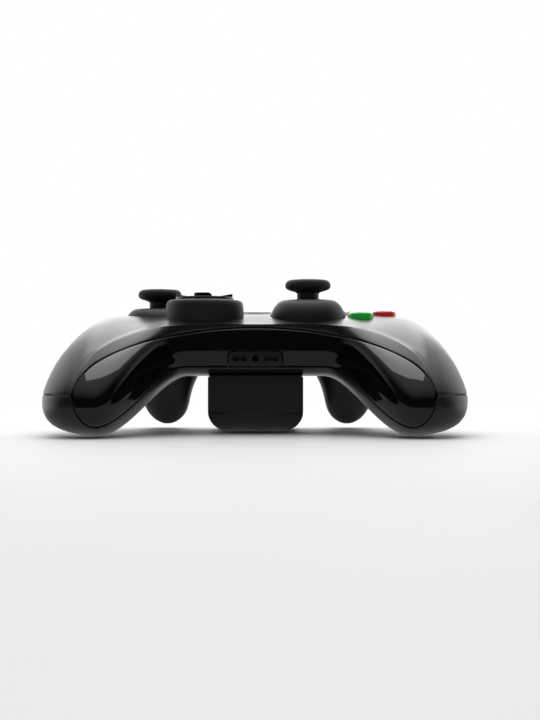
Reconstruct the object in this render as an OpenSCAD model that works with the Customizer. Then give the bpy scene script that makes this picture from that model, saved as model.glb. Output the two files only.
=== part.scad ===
// Two-grip wireless gamepad, an assembly of separate pieces
// X to the player's right, Y away from the player, Z up, in millimetres
// Origin on the floor, on the flat underside of the battery case

/* [Case] */
// Overall width across both grips
body_w = 154; // [148:1:164]
// Half width of the straight bridge between the grips, as a share of the overall width
bridge_share = 0.169; // [0.156:0.001:0.182]
// Distance from the middle to the line where each grip is fullest, as a share of the width
grip_share = 0.357; // [0.338:0.001:0.376]
// Height of the deck above the floor at the middle
deck_h = 46; // [45:0.5:48]
// Height of the belly above the floor at the middle
belly_h = 22; // [20:0.5:23]
// Depth of the bridge, from the player's edge to the far edge
bridge_d = 65; // [63:0.5:68]
// Place of the bridge's middle, away from the player
bridge_y = 13.5; // [12.5:0.5:15]
// Depth of each grip
grip_d = 89; // [86:0.5:94]
// Place of each grip's middle, towards the player
grip_y = -7.5; // [-9:0.5:-6]
// Height of each grip's middle above the floor
grip_z = 23; // [22.75:0.25:24.5]
// Thickness of each grip, measured upright
grip_t = 36; // [34:0.5:36]
// How far each grip drops towards the player
grip_rake = 12.5; // [11:0.5:12.5]
// Height of the side seam at the outer end of each grip
tip_z = 15; // [14:0.5:17]
// Wall thickness of the case
wall = 2; // [1.6:0.1:2.4]
// Seam left between two case pieces
seam = 0.3; // [0.2:0.05:0.4]

/* [Front panel] */
// Half width of the gloss panel, as a share of the overall width
panel_share = 0.4026; // [0.3896:0.001:0.4156]
// Rise of the panel's upper edge above the side seam
panel_rise = 24.6; // [23:0.2:26]
// Height of the case lip under the panel
lip_h = 3.2; // [2.8:0.1:4]
// Distance from the middle to the panel's lowest point on each grip, as a share of the width
panel_low_share = 0.352; // [0.338:0.001:0.362]
// Thickness of the panel
panel_t = 1.8; // [1.4:0.1:2]

/* [Port] */
// Width of the port insert
port_w = 20; // [18:0.5:22]
// Height of the port insert
port_h = 5.6; // [5.2:0.1:6.4]
// Depth of the port insert
port_d = 10; // [8:0.5:11]
// Radius of the headset jack hole
jack_r = 1.25; // [1.25:0.05:1.75]
// Depth of the headset jack hole
jack_d = 8; // [6:0.5:8]
// Distance from the jack to each slot's middle
slot_x = 5.8; // [5.4:0.1:6]

/* [Sticks] */
// Place of the right stick across, as a share of the overall width
right_stick_share = 0.13; // [0.124:0.001:0.142]
// Place of the right stick, away from the player
right_stick_y = 1.5; // [1:0.5:2.5]
// Place of the left stick to the left of the middle, as a share of the overall width
left_stick_share = 0.2545; // [0.2505:0.0005:0.2595]
// Place of the left stick, away from the player
left_stick_y = 24.7; // [24:0.1:25]
// How much lower the left stick stands than the right one
left_drop = 2; // [1:0.25:2.5]
// Depth of the right stick's pivot below the deck
pivot_sink = 7.5; // [7:0.25:8]
// Diameter of the thumb caps
cap_d = 17.5; // [16.5:0.25:18.5]
// Height of the cap's crown above the pivot
cap_top = 20; // [19.5:0.25:21]
// Diameter of the stem under the cap
stem_d = 8.4; // [7.5:0.1:8.6]
// Tilt of a stick to each side, in degrees
stick_tilt = 14; // [8:1:14]
// Outer diameter of the domed collars
collar_d = 29; // [28:0.25:29.5]
// Play left between a tilted stem and its collar
collar_play = 0.9; // [0.6:0.1:1.2]
// Height of the collar's rim above the pivot
collar_top = 12.1; // [11.5:0.1:12.2]
// Travel of a stick when it is pressed down
stick_press = 0.6; // [0.4:0.1:0.8]

/* [Direction pad] */
// Place of the direction pad to the left of the middle, as a share of the overall width
dpad_share = 0.128; // [0.123:0.001:0.136]
// Place of the direction pad, away from the player
dpad_y = 0.5; // [0:0.25:1]
// Outer diameter of its housing
dpad_housing_d = 30; // [29:0.25:30.5]
// Height of its housing above the deck
dpad_rise = 5; // [4:0.25:5.5]
// Width of the housing's rim round the pad
dpad_rim = 3.5; // [3.25:0.25:4.5]
// Width of each arm of the cross
dpad_arm = 7; // [6:0.25:8]

/* [Buttons] */
// Place of the face buttons' middle across, as a share of the overall width
face_share = 0.266; // [0.26:0.001:0.272]
// Place of the face buttons' middle, away from the player
face_y = 20; // [19.5:0.25:20.25]
// Distance from that middle to each button
face_pitch = 10; // [9.5:0.25:10.25]
// Diameter of a face button
face_d = 10; // [9:0.25:10.5]
// How far a face button stands above the deck
face_rise = 2.4; // [1.8:0.1:3]
// Travel of a face button
face_travel = 1.5; // [1:0.1:1.6]
// Place of the middle row of buttons, away from the player
menu_y = 23; // [22:0.5:24]
// Diameter of the home button
home_d = 14; // [12:0.5:15]
// Width of the light ring round the home button
ring_w = 2; // [1.5:0.1:2.4]
// Distance from the middle to the back and start buttons
menu_x = 16.5; // [16:0.25:17]
// Diameter of the back and start buttons
menu_d = 6; // [5:0.25:6.5]
// Travel of the middle buttons
menu_travel = 0.8; // [0.5:0.1:1]

/* [Shoulders] */
// Half width of the bridge between the bumpers
spine_half = 13; // [12:0.25:14]
// Distance from the middle to the outer end of a bumper, as a share of the overall width
bumper_share = 0.37; // [0.358:0.001:0.376]
// Thickness of a bumper
bumper_t = 1.6; // [1.4:0.1:1.8]
// Half width of a trigger at its top
trigger_half = 15; // [14:0.25:15.5]
// Distance from the middle to a trigger's middle, as a share of the overall width
trigger_share = 0.2435; // [0.2375:0.0005:0.25]
// Height of a trigger's tip above the floor
trigger_tip = 1.6; // [1:0.1:3]
// Place of a trigger's tip, away from the player
trigger_back = 50; // [48:0.5:51]
// Travel of a trigger, in degrees
trigger_turn = 16; // [10:1:16]
// Diameter of the trigger pins
pin_d = 3; // [2.5:0.1:3.4]

/* [Battery] */
// Width of the battery case
pack_w = 35.6; // [34:0.2:37]
// Length of the battery case
pack_l = 53; // [52:0.5:54]
// Place of the battery case's near face
pack_y = -12; // [-13:0.5:-11]
// Corner radius along the sides of the battery case
pack_r = 8; // [6:0.25:9]
// Corner radius along its near edge
pack_edge_r = 5; // [3:0.25:6]
// Wall thickness of the battery case
pack_wall = 1.8; // [1.4:0.1:2]
// Diameter of a battery cell
cell_d = 14.2; // [13.5:0.1:14.5]
// Travel of the battery catch
latch_travel = 1.5; // [1:0.1:2]

/* [Inside] */
// Height of the board's underside above the belly
board_rise = 7; // [6.5:0.1:7.5]
// Thickness of the board
board_t = 1.6; // [1.2:0.1:2]
// Diameter of a rumble motor
motor_d = 14; // [12:0.5:15]
// Length of a rumble motor
motor_l = 11; // [9:0.5:12]
// Radius of the rumble motors' weights
weight_r = 8.5; // [7:0.25:9]
// Clearance between pieces that slide past each other
slip = 0.3; // [0.2:0.05:0.4]
// Clearance of a running pin in its bore
run = 0.05; // [0.03:0.01:0.08]

/* [Hidden] */
$fn = 48;
eps = 0.01;
half_w = body_w / 2;
bridge_half = body_w * bridge_share;
grip_x = body_w * grip_share;
panel_half = body_w * panel_share;
panel_low_x = body_w * panel_low_share;
right_stick_x = body_w * right_stick_share;
left_stick_x = body_w * left_stick_share;
dpad_x = body_w * dpad_share;
face_x = body_w * face_share;
bumper_end = body_w * bumper_share;
trigger_x = body_w * trigger_share;
dpad_d = dpad_housing_d - 2 * dpad_rim;
tip_l = half_w - grip_x;
board_z = belly_h + board_rise;
board_top = board_z + board_t;
pivot_h = deck_h - pivot_sink;
// Tilt of a stick towards a corner
corner_tilt = stick_tilt * sqrt(2);
collar_hole_r = stem_d / 2 / cos(corner_tilt) + collar_top * tan(corner_tilt) + collar_play;
far_y = bridge_y + bridge_d / 2;
pack_top = belly_h - 0.7;
// Angles on the case section where the bumpers start and end
bumper_hi = 15;
bumper_lo = 8;
// Angle by which the case opens inwards behind the bumpers
bumper_open = 12;
// Distance over which the bumpers taper out at their ends
bumper_taper = 8;
// Tip fullness of the grips
tip_p = 1.9;
tip_q = 0.52;
// Squareness of the case section at the bridge and at the grips
bridge_n = 4;
grip_n = 2.2;
// How far the grip's middle moves towards the player at its outer end
tip_sweep = 12.5;
// Slope of the bridge section
bridge_rake = 1;
// Steps along the panel, along each grip end, and round the shells
steps_panel = 18;
steps_tip = 7;
steps_shell = 15;
steps_front = 8;
// Share of the tip that is left flat
tip_flat = 0.12;

black = "#161616";
gloss = "#0a0a0b";
dark = "#222224";
metal = "#b9bcc0";
green = "#2f6b3a";

function lerp(a, b, t) = a + (b - a) * t;
function ease(t) = let (u = min(1, max(0, t))) u * u * (3 - 2 * u);
function spow(v, p) = sign(v) * pow(abs(v), p);
function grip(x) = ease((abs(x) - bridge_half) / (grip_x - bridge_half));
function out(x) = max(0, (abs(x) - grip_x) / tip_l);
function tip(x) = pow(max(0, 1 - pow(out(x), tip_p)), tip_q);

// One case section: middle, half depth, half height, slope, squareness
function sec(x) = let (g = grip(x), o = out(x)) [
    lerp(bridge_y, grip_y, g) - tip_sweep * o * o,
    lerp(bridge_d, grip_d, g) / 2,
    lerp((deck_h + belly_h) / 2, grip_z, g) + (tip_z - grip_z) * o * o,
    lerp(deck_h - belly_h, grip_t, g) / 2,
    lerp(bridge_rake, grip_rake, g),
    lerp(bridge_n, grip_n, g),
    tip(x)];

// Point on the case at distance x, at angle a round the section, set in by t
function skin_pt(x, a, t) = let (s = sec(x), q = 2 / s[5], c = spow(cos(a), q), n = spow(sin(a), q),
    far = max(0, abs(x) - grip_x))
    [sign(x) * (abs(x) - far * t / tip_l),
     s[0] + (s[1] - t) * s[6] * c,
     s[2] + (s[3] - t) * s[6] * n + s[4] * s[6] * c];

// Angle of the lowest point of the section, on the player's side
function low_a(x) = let (s = sec(x), p = s[5] / (2 * (s[5] - 1))) 180 + atan2(pow(s[3], p), pow(s[4], p));
function low_z(x) = skin_pt(x, low_a(x), 0)[2];
function seek(x, z, lo, hi, n) = let (m = (lo + hi) / 2)
    n == 0 ? m : skin_pt(x, m, 0)[2] > z ? seek(x, z, m, hi, n - 1) : seek(x, z, lo, m, n - 1);
function front_a(x, z) = let (a = low_a(x)) seek(x, z, a - 180, a, 20);

// Height of the deck and of the underside at a point
function side_s(x, y) = let (s = sec(x), c = (y - s[0]) / (s[1] * s[6]))
    pow(max(0, 1 - pow(min(1, abs(c)), s[5])), 1 / s[5]);
function mid_z(x, y) = let (s = sec(x)) s[2] + s[4] * (y - s[0]) / s[1];
function deck_z(x, y) = let (s = sec(x)) mid_z(x, y) + s[3] * s[6] * side_s(x, y);
function under_z(x, y) = let (s = sec(x)) mid_z(x, y) - s[3] * s[6] * side_s(x, y);

// Seams in front view
function round_off(v) = sqrt(max(0, 1 - v * v));
function upper_z(x) = tip_z + panel_rise * round_off(min(1, abs(x) / panel_half));
function lower_z(x) = let (low = low_z(panel_low_x) + lip_h)
    abs(x) >= panel_half ? tip_z
    : abs(x) > panel_low_x
    ? tip_z - (tip_z - low) * round_off((abs(x) - panel_low_x) / (panel_half - panel_low_x))
    : low_z(x) + lip_h;
function bumper_a(x) = 1 - ease((abs(x) - bumper_end + bumper_taper) / (bumper_taper + 2));

panel_end = panel_half - 0.25;
half_xs = concat([for (i = [0 : steps_panel]) panel_end * sin(90 * i / steps_panel)],
    [for (i = [1 : steps_tip]) lerp(panel_end, half_w - tip_flat, sin(90 * i / steps_tip))]);
full_xs = concat([for (i = [len(half_xs) - 1 : -1 : 1]) -half_xs[i]], half_xs);
panel_xs = [for (x = full_xs) if (abs(x) <= panel_end + eps) x];

// Closed wall between an outer and an inner grid of points; closed ends make it a cup
module skin(o, w, cup = false) {
    n = len(o) - 1;
    m = len(o[0]) - 1;
    k = (n + 1) * (m + 1);
    grid = [for (i = [0 : n - 1], j = [0 : m - 1])
        let (a = i * (m + 1) + j, b = a + m + 1, c = b + 1, d = a + 1)
        each [[a, b, c], [a, c, d], [k + a, k + c, k + b], [k + a, k + d, k + c]]];
    seams = [for (i = [0 : n - 1])
        let (a = i * (m + 1), b = a + m + 1, d = a + m, c = b + m)
        each [[b, a, k + a], [b, k + a, k + b], [d, c, k + c], [d, k + c, k + d]]];
    e = n * (m + 1);
    open_ends = [for (j = [0 : m - 1])
        each [[j, j + 1, k + j + 1], [j, k + j + 1, k + j],
              [e + j + 1, e + j, k + e + j], [e + j + 1, k + e + j, k + e + j + 1]]];
    cups = concat(
        [for (j = [1 : m - 1]) each [[0, j, j + 1], [k, k + j + 1, k + j],
            [e, e + j + 1, e + j], [k + e, k + e + j, k + e + j + 1]]],
        [[0, m, k + m], [0, k + m, k], [e + m, e, k + e], [e + m, k + e, k + e + m]]);
    polyhedron(concat([for (r = o) each r], [for (r = w) each r]),
        concat(grid, seams, cup ? cups : open_ends), convexity = 8);
}

// Solid through a list of rings, all with the same number of points
module loft(r) {
    n = len(r) - 1;
    m = len(r[0]);
    polyhedron([for (q = r) each q], concat(
        [for (i = [0 : n - 1], j = [0 : m - 1])
            let (a = i * m + j, d = i * m + (j + 1) % m) each [[a, d, d + m], [a, d + m, a + m]]],
        [for (j = [1 : m - 2]) each [[0, j + 1, j], [n * m, n * m + j, n * m + j + 1]]]),
        convexity = 6);
}

function rows(xs, lo, hi, m, t) = [for (i = [0 : len(xs) - 1])
    [for (j = [0 : m]) skin_pt(xs[i], lerp(lo[i], hi[i], j / m), t)]];

top_lo = [for (x = full_xs) bumper_hi * bumper_a(x) + (bumper_a(x) > 0 ? 0.5 : 0.3)];
top_lo_in = [for (x = full_xs) (bumper_hi + bumper_open) * bumper_a(x) + 0.5];
top_hi = [for (x = full_xs) front_a(x, upper_z(x) + seam / 2)];
bottom_lo = [for (x = full_xs) front_a(x, lower_z(x) - seam / 2)];
bottom_hi = [for (x = full_xs) 360 - bumper_lo * bumper_a(x) - (bumper_a(x) > 0 ? 0.5 : 0.3)];
bottom_hi_in = [for (x = full_xs) 360 - (bumper_lo + bumper_open) * bumper_a(x) - 0.5];

module top_skin() {
    skin(rows(full_xs, top_lo, top_hi, steps_shell, 0),
        rows(full_xs, top_lo_in, top_hi, steps_shell, wall), true);
}

module bottom_skin() {
    skin(rows(full_xs, bottom_lo, bottom_hi, steps_shell, 0),
        rows(full_xs, bottom_lo, bottom_hi_in, steps_shell, wall), true);
}

module panel_skin() {
    lo = [for (x = panel_xs) front_a(x, upper_z(x) - seam / 2)];
    hi = [for (x = panel_xs) front_a(x, lower_z(x) + seam / 2)];
    skin(rows(panel_xs, lo, hi, steps_front, 0), rows(panel_xs, lo, hi, steps_front, panel_t));
}

// Places that several pieces share
left_pivot = [-left_stick_x, left_stick_y, pivot_h - left_drop];
right_pivot = [right_stick_x, right_stick_y, pivot_h];
dpad_deck = deck_z(-dpad_x, dpad_y);
dpad_pivot = [-dpad_x, dpad_y, dpad_deck + 0.2];
face_at = [[face_x, face_y - face_pitch], [face_x + face_pitch, face_y],
    [face_x - face_pitch, face_y], [face_x, face_y + face_pitch]];
menu_deck = deck_z(0, menu_y);
port_y = bridge_y - bridge_d / 2 + 0.5;
port_z = low_z(0) + lip_h + seam + port_h / 2;
trigger_y = far_y - 10.5;
trigger_z = belly_h + 3.5;
trigger_top = board_z - 0.8;
trigger_near = trigger_y + 3.5;
// How far a trigger's near face swings in at the case
trigger_sweep = 5.5 * sin(trigger_turn);
// Half lengths along a trigger's pin: spring, hubs and ears
spring_half = 3.6;
hub_in = 4;
hub_out = 9.4;
ear_out = 11.4;
// Bumper pivots, and the heights of the ear that turns there
bumper_px = spine_half + 3.2;
bumper_py = far_y - 6;
ear_lo = (deck_h + belly_h) / 2;
ear_hi = ear_lo + 4;
lug_t = 2.3;
// Screws that hold the case together: place, parting height
grip_screw = [half_w - 11, grip_y - 16.5];
back_screw = [16, far_y - 13];
screw_r = 1.5;
screw_head_r = 2.8;
screw_head_h = 2;
screw_l = 12;
screw_boss_r = 3.6;
// Rumble motors
motor_y = grip_y - 10.5;
motor_z = tip_z + 2.5;
motor_shaft_r = 1;
weight_l = 5;
weight_gap = 0.8;
// Room kept beyond the weights, at the outer ends of the grips
weight_room = 15.222;
motor_x = half_w - weight_room - weight_l - weight_gap - motor_l;
// Posts under the board
posts = [[bridge_half + 2, -4], [grip_x - 9, 14]];
post_r = 2.5;
contact_at = [6, 4];
contact_w = 2;

function post_z(x, y, r) = 0.5 + max(under_z(x + r, y), under_z(x - r, y),
    under_z(x, y + r), under_z(x, y - r));

module rod_x(r, a, b) {
    translate([a, 0, 0])
        rotate([0, 90, 0])
            cylinder(r = r, h = b - a);
}

module rod_y(r, a, b) {
    translate([0, b, 0])
        rotate([90, 0, 0])
            cylinder(r = r, h = b - a);
}

module box(lo, hi) {
    translate(lo)
        cube(hi - lo);
}

module both() {
    children();
    mirror([1, 0, 0])
        children();
}

// Case

module deck_holes() {
    for (p = [left_pivot, right_pivot])
        translate([p[0], p[1], 0])
            cylinder(r = collar_d / 2 + 0.1, h = deck_h * 2);
    translate([-dpad_x, dpad_y, 0])
        cylinder(r = dpad_housing_d / 2 + 0.1, h = deck_h * 2);
    for (p = face_at)
        translate([p[0], p[1], 0])
            cylinder(r = face_d / 2 + slip, h = deck_h * 2);
    translate([0, menu_y, 0])
        cylinder(r = home_d / 2 + ring_w + 0.1, h = deck_h * 2);
    both()
        translate([menu_x, menu_y, 0])
            cylinder(r = menu_d / 2 + slip, h = deck_h * 2);
}

module screw_tower(p, z0) {
    top = min(deck_z(p[0] + screw_boss_r, p[1]), deck_z(p[0], p[1] - screw_boss_r),
        deck_z(p[0], p[1] + screw_boss_r)) - 0.5;
    translate([p[0], p[1], z0])
        difference() {
            cylinder(r = screw_boss_r, h = top - z0);
            translate([0, 0, -1])
                cylinder(r = screw_r, h = screw_l);
        }
}

module top_shell() {
    color(black) {
        difference() {
            top_skin();
            deck_holes();
        }
        both() {
            screw_tower(grip_screw, tip_z + seam);
            screw_tower(back_screw, board_z);
        }
    }
}

function head_z(p) = under_z(p[0], p[1]) + 4;

module screw_boss(p, z1) {
    z0 = post_z(p[0], p[1], screw_boss_r);
    translate([p[0], p[1], z0])
        cylinder(r = screw_boss_r, h = z1 - z0);
}

module screw_hole(p) {
    translate([p[0], p[1], head_z(p) - 12])
        cylinder(r = screw_head_r + 0.1, h = 12);
    translate([p[0], p[1], head_z(p) - 1])
        cylinder(r = screw_r, h = 30);
}

module motor_rib(x) {
    z0 = 0.5 + max([for (dx = [-1, 1], dy = [-4, 4]) under_z(x + dx, motor_y + dy)]);
    box([x - 1, motor_y - 4, z0], [x + 1, motor_y + 4, motor_z]);
}

module bottom_shell() {
    color(black)
        difference() {
            union() {
                bottom_skin();
                both() {
                    screw_boss(grip_screw, tip_z - seam / 2);
                    screw_boss(back_screw, board_z - seam);
                    motor_rib(motor_x + 2.5);
                    motor_rib(motor_x + motor_l - 2.5);
                    for (p = posts) {
                        z0 = post_z(p[0], p[1], post_r);
                        translate([p[0], p[1], z0])
                            cylinder(r = post_r, h = board_z - z0);
                    }
                }
            }
            port_space();
            both() {
                screw_hole(grip_screw);
                screw_hole(back_screw);
                translate([0, motor_y, motor_z])
                    rod_x(motor_d / 2, motor_x - 1, motor_x + motor_l + 1);
                box([trigger_x - ear_out - 0.6, board_far - 2.6, 0],
                    [trigger_x + ear_out + 0.6, far_y + 5, board_z + 0.3]);
                box([trigger_x - trigger_half - 1, trigger_near - trigger_sweep, 0],
                    [trigger_x + trigger_half + 1, far_y + 5, board_z + 1.5]);
                translate([contact_at[0], contact_at[1], 0])
                    translate([-contact_w / 2 - 0.1, -contact_w / 2 - 0.1, 0])
                        cube([contact_w + 0.2, contact_w + 0.2, board_z - 1]);
            }
        }
}

module port_space() {
    box([-port_w / 2 - seam, port_y - 5, port_z - port_h / 2 - seam],
        [port_w / 2 + seam, port_y + port_d + seam, port_z + port_h / 2 + seam]);
}

module front_panel() {
    color(gloss)
        difference() {
            panel_skin();
            port_space();
        }
}

module dumbbell(d) {
    for (s = [-1, 1])
        translate([s * 1.6, 0, 0])
            rod_y(1.05, -1, d);
    box([-1.6, -1, -0.55], [1.6, d, 0.55]);
}

module port_block() {
    color(dark)
        translate([0, port_y, port_z])
            difference() {
                box([-port_w / 2, 0, -port_h / 2], [port_w / 2, port_d, port_h / 2]);
                rod_y(jack_r, -1, jack_d);
                for (s = [-1, 1])
                    translate([s * slot_x, 0, 0])
                        dumbbell(3);
            }
}

// Sticks

module collar(p) {
    r = collar_d / 2;
    h = collar_hole_r;
    c = r - h;
    z1 = p[2] + collar_top;
    z0 = deck_z(p[0], p[1]) - collar_skirt;
    translate([p[0], p[1], 0])
        rotate_extrude()
            difference() {
                union() {
                    translate([h, z0])
                        square([r - h, z1 - z0 - 5]);
                    polygon([[h, z0], [r, z1 - 5], [r - 0.1 * c, z1 - 3.4], [r - 0.29 * c, z1 - 1.9],
                        [r - 0.56 * c, z1 - 0.7], [r - 0.88 * c, z1], [h, z1]]);
                }
                polygon([[h - 1, z0 - 1], [r - 0.38 * c, z0 - 1], [r - 0.38 * c, z1 - 4.6],
                    [r - 0.54 * c, z1 - 2.8], [r - 0.84 * c, z1 - 1.6], [h - 1, z1 - collar_rim_t]]);
            }
}

module left_stick_collar() {
    color(dark)
        collar(left_pivot);
}

module right_stick_collar() {
    color(dark)
        collar(right_pivot);
}

// Depth of the collars and of the pad housing below the deck
collar_skirt = 4.6;
// Thickness of a collar at the edge of its hole
collar_rim_t = 1.3;
yoke_w = 11;
yoke_d = 10;
yoke_t = 4;
// Depth that the tilted yoke needs below its pivot
yoke_swing = yoke_d / 2 * sin(corner_tilt) + yoke_t / 2 + 0.4;
hub_l = 5;
hub_r = 3;
gimbal_r = 1;
carrier_w = 16.8;
carrier_d = 16;
carrier_lo = 2.6;
carrier_hi = 2.2;
base_wall = 1.7;
rod_r = 2.3;
stem_lo = 8;
cap_lo = 15;

module stick_base(p) {
    w = carrier_w / 2 + slip;
    d = carrier_d / 2 + slip;
    h = p[2] + carrier_hi - board_top;
    floor_t = p[2] - yoke_swing - stick_press - board_top;
    translate([p[0], p[1], board_top])
        difference() {
            box([-w - base_wall, -d - base_wall, 0], [w + base_wall, d + base_wall, h]);
            box([-w, -d, floor_t], [w, d, h + 1]);
        }
}

module stick_carrier(p) {
    translate(p)
        difference() {
            box([-carrier_w / 2, -carrier_d / 2, -carrier_lo], [carrier_w / 2, carrier_d / 2, carrier_hi]);
            box([-yoke_w / 2 - slip, -yoke_d / 2 - 0.6, -carrier_lo - 1],
                [yoke_w / 2 + slip, yoke_d / 2 + 0.6, carrier_hi + 1]);
            rod_x(gimbal_r + run, -carrier_w, carrier_w);
        }
}

module stick_yoke(p) {
    translate(p) {
        difference() {
            box([-yoke_w / 2, -yoke_d / 2, -yoke_t / 2], [yoke_w / 2, yoke_d / 2, yoke_t / 2]);
            box([-hub_r - 0.8, -hub_l / 2 - slip, -yoke_t], [hub_r + 0.8, hub_l / 2 + slip, yoke_t]);
            rod_y(gimbal_r + run, -yoke_d, yoke_d);
        }
        for (s = [0, 1])
            mirror([s, 0, 0])
                rod_x(gimbal_r, yoke_w / 2 - 1, carrier_w / 2 - 0.2);
    }
}

module stick_shaft(p) {
    translate(p) {
        rod_y(hub_r, -hub_l / 2, hub_l / 2);
        rod_y(gimbal_r, -yoke_d / 2 + 0.2, yoke_d / 2 - 0.2);
        cylinder(r = rod_r, h = cap_lo + 2.5);
        translate([0, 0, stem_lo])
            cylinder(r = stem_d / 2, h = cap_lo - stem_lo);
    }
}

module stick_cap(p) {
    r = cap_d / 2;
    translate(p)
        rotate_extrude()
            polygon([[0, cap_lo + 2.5], [rod_r, cap_lo + 2.5], [rod_r, cap_lo], [stem_d / 2, cap_lo],
                [r - 0.6, cap_lo + 1.5], [r, cap_lo + 2.1], [r, cap_top - 1.6], [r - 0.4, cap_top - 0.6],
                [r - 1.3, cap_top], [r - 2.4, cap_top], [r - 3.6, cap_top - 0.5], [0, cap_top - 0.9]]);
}

module left_stick_base() {
    color(dark)
        stick_base(left_pivot);
}

module right_stick_base() {
    color(dark)
        stick_base(right_pivot);
}

module left_stick_carrier() {
    color("#d8d8d4")
        stick_carrier(left_pivot);
}

module right_stick_carrier() {
    color("#d8d8d4")
        stick_carrier(right_pivot);
}

module left_stick_yoke() {
    color(dark)
        stick_yoke(left_pivot);
}

module right_stick_yoke() {
    color(dark)
        stick_yoke(right_pivot);
}

module left_stick_shaft() {
    color(black)
        stick_shaft(left_pivot);
}

module right_stick_shaft() {
    color(black)
        stick_shaft(right_pivot);
}

module left_stick_cap() {
    color(dark)
        stick_cap(left_pivot);
}

module right_stick_cap() {
    color(dark)
        stick_cap(right_pivot);
}

// Direction pad

lug_half = 2.2;
lug_top = 1.4;
ring_out = dpad_d * 0.2175;
ring_in = 2.6;
ring_half = 1.6;
dpad_pin_r = 0.8;
dpad_disc_z = 3.2;
dpad_disc_t = 2;
dpad_cross_t = 1.6;
leg_r = 1.2;
leg_at = dpad_d * 0.278;
sheet_t = 1.4;
dome_h = 1.8;
dome_gap = 1.2;

module dpad_housing() {
    r = dpad_housing_d / 2;
    bore = dpad_d / 2 + 0.7;
    color(dark)
        translate([-dpad_x, dpad_y, dpad_deck]) {
            rotate_extrude()
                polygon([[bore, -collar_skirt], [r, -collar_skirt], [r, dpad_rise - 1],
                    [r - 0.3, dpad_rise - 0.3], [r - 1, dpad_rise], [bore, dpad_rise]]);
            translate([0, 0, dpad_pivot[2] - dpad_deck])
                difference() {
                    for (s = [0, 1])
                        mirror([s, 0, 0])
                            box([ring_out + slip, -lug_half, -lug_half], [bore + 0.5, lug_half, lug_top]);
                    rod_x(dpad_pin_r + run, -ring_out - 3.2, ring_out + 3.2);
                }
        }
}

module dpad_carrier() {
    color("#d8d8d4")
        translate(dpad_pivot) {
            difference() {
                box([-ring_out, -ring_out, -ring_half], [ring_out, ring_out, ring_half]);
                box([-ring_in, -ring_in, -ring_out], [ring_in, ring_in, ring_out]);
                rod_y(dpad_pin_r + run, -ring_out - 1, ring_out + 1);
            }
            for (s = [0, 1])
                mirror([s, 0, 0])
                    rod_x(dpad_pin_r, ring_out - 1, ring_out + 2.8);
        }
}

module dpad() {
    r = dpad_d / 2;
    leg_lo = board_top + sheet_t + dome_h + dome_gap;
    color(gloss)
        translate([-dpad_x, dpad_y, 0]) {
            translate([0, 0, dpad_deck + dpad_disc_z])
                cylinder(r = r, h = dpad_disc_t);
            translate([0, 0, dpad_deck + dpad_disc_z + dpad_disc_t])
                intersection() {
                    cylinder(r = r - 0.4, h = dpad_cross_t);
                    union() {
                        box([-r, -dpad_arm / 2, -1], [r, dpad_arm / 2, 3]);
                        box([-dpad_arm / 2, -r, -1], [dpad_arm / 2, r, 3]);
                    }
                }
            box([-2, -2, dpad_pivot[2] - 1.4], [2, 2, dpad_deck + dpad_disc_z + 0.5]);
            translate([0, 0, dpad_pivot[2]])
                rod_y(dpad_pin_r, -ring_out + 0.2, ring_out - 0.2);
            for (a = [45 : 90 : 315])
                rotate(a)
                    translate([leg_at * sqrt(2), 0, leg_lo])
                        cylinder(r = leg_r, h = dpad_deck + dpad_disc_z + 0.5 - leg_lo);
        }
}

module dome_at(x, y, r) {
    translate([x, y, board_top])
        cylinder(r1 = r, r2 = r - 1, h = sheet_t + dome_h);
}

module dpad_pad() {
    color("#9a9a98") {
        translate([-dpad_x, dpad_y, board_top])
            cylinder(r = dpad_d / 2 - 0.5, h = sheet_t);
        for (sx = [-1, 1], sy = [-1, 1])
            dome_at(-dpad_x + sx * leg_at, dpad_y + sy * leg_at, 3);
    }
}

// Buttons

module push(x, y, d, rise, travel, flange, drop) {
    z = deck_z(x, y);
    z0 = board_top + sheet_t + dome_h + travel + 0.3;
    r = d / 2;
    translate([x, y, 0])
        rotate_extrude()
            polygon([[0, z0], [r - 1, z0], [r - 1, z - drop - 1], [r + flange, z - drop - 1],
                [r + flange, z - drop], [r, z - drop], [r, z + rise * 0.45], [r * 0.95, z + rise * 0.66],
                [r * 0.8, z + rise * 0.85], [r * 0.55, z + rise * 0.96], [0, z + rise]]);
}

module face_button(i) {
    push(face_at[i][0], face_at[i][1], face_d, face_rise, face_travel, 0.6, 4.4);
}

module green_button() {
    color("#19c132")
        face_button(0);
}

module red_button() {
    color("#c8201c")
        face_button(1);
}

module blue_button() {
    color("#1c4cc8")
        face_button(2);
}

module yellow_button() {
    color("#d8a318")
        face_button(3);
}

face_sheet_r = 4.8;

module face_button_pad() {
    color("#9a9a98") {
        for (p = face_at) {
            translate([p[0], p[1], board_top])
                cylinder(r = face_sheet_r, h = sheet_t);
            dome_at(p[0], p[1], 3.6);
        }
        translate([face_x, face_y, board_top])
            cylinder(r = face_pitch - 3, h = sheet_t);
    }
}

module home_button() {
    color("#c9ccd0")
        push(0, menu_y, home_d, 1.4, menu_travel, 1, 4.2);
}

module light_ring() {
    r = home_d / 2;
    color("#d6e8d4")
        translate([0, menu_y, menu_deck])
            rotate_extrude()
                polygon([[r + slip, -2.6], [r + ring_w, -2.6], [r + ring_w, 0.1], [r + ring_w - 0.4, 0.5],
                    [r + slip, 0.5]]);
}

module back_button() {
    color(dark)
        push(-menu_x, menu_y, menu_d, 1.2, menu_travel, 0.9, 3.6);
}

module start_button() {
    color(dark)
        push(menu_x, menu_y, menu_d, 1.2, menu_travel, 0.9, 3.6);
}

module menu_pad() {
    color("#9a9a98") {
        box([-menu_x - 4, menu_y - 4.5, board_top], [menu_x + 4, menu_y + 4.5, board_top + sheet_t]);
        for (x = [-menu_x, 0, menu_x])
            dome_at(x, menu_y, 3);
    }
}

// Shoulders

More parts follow.
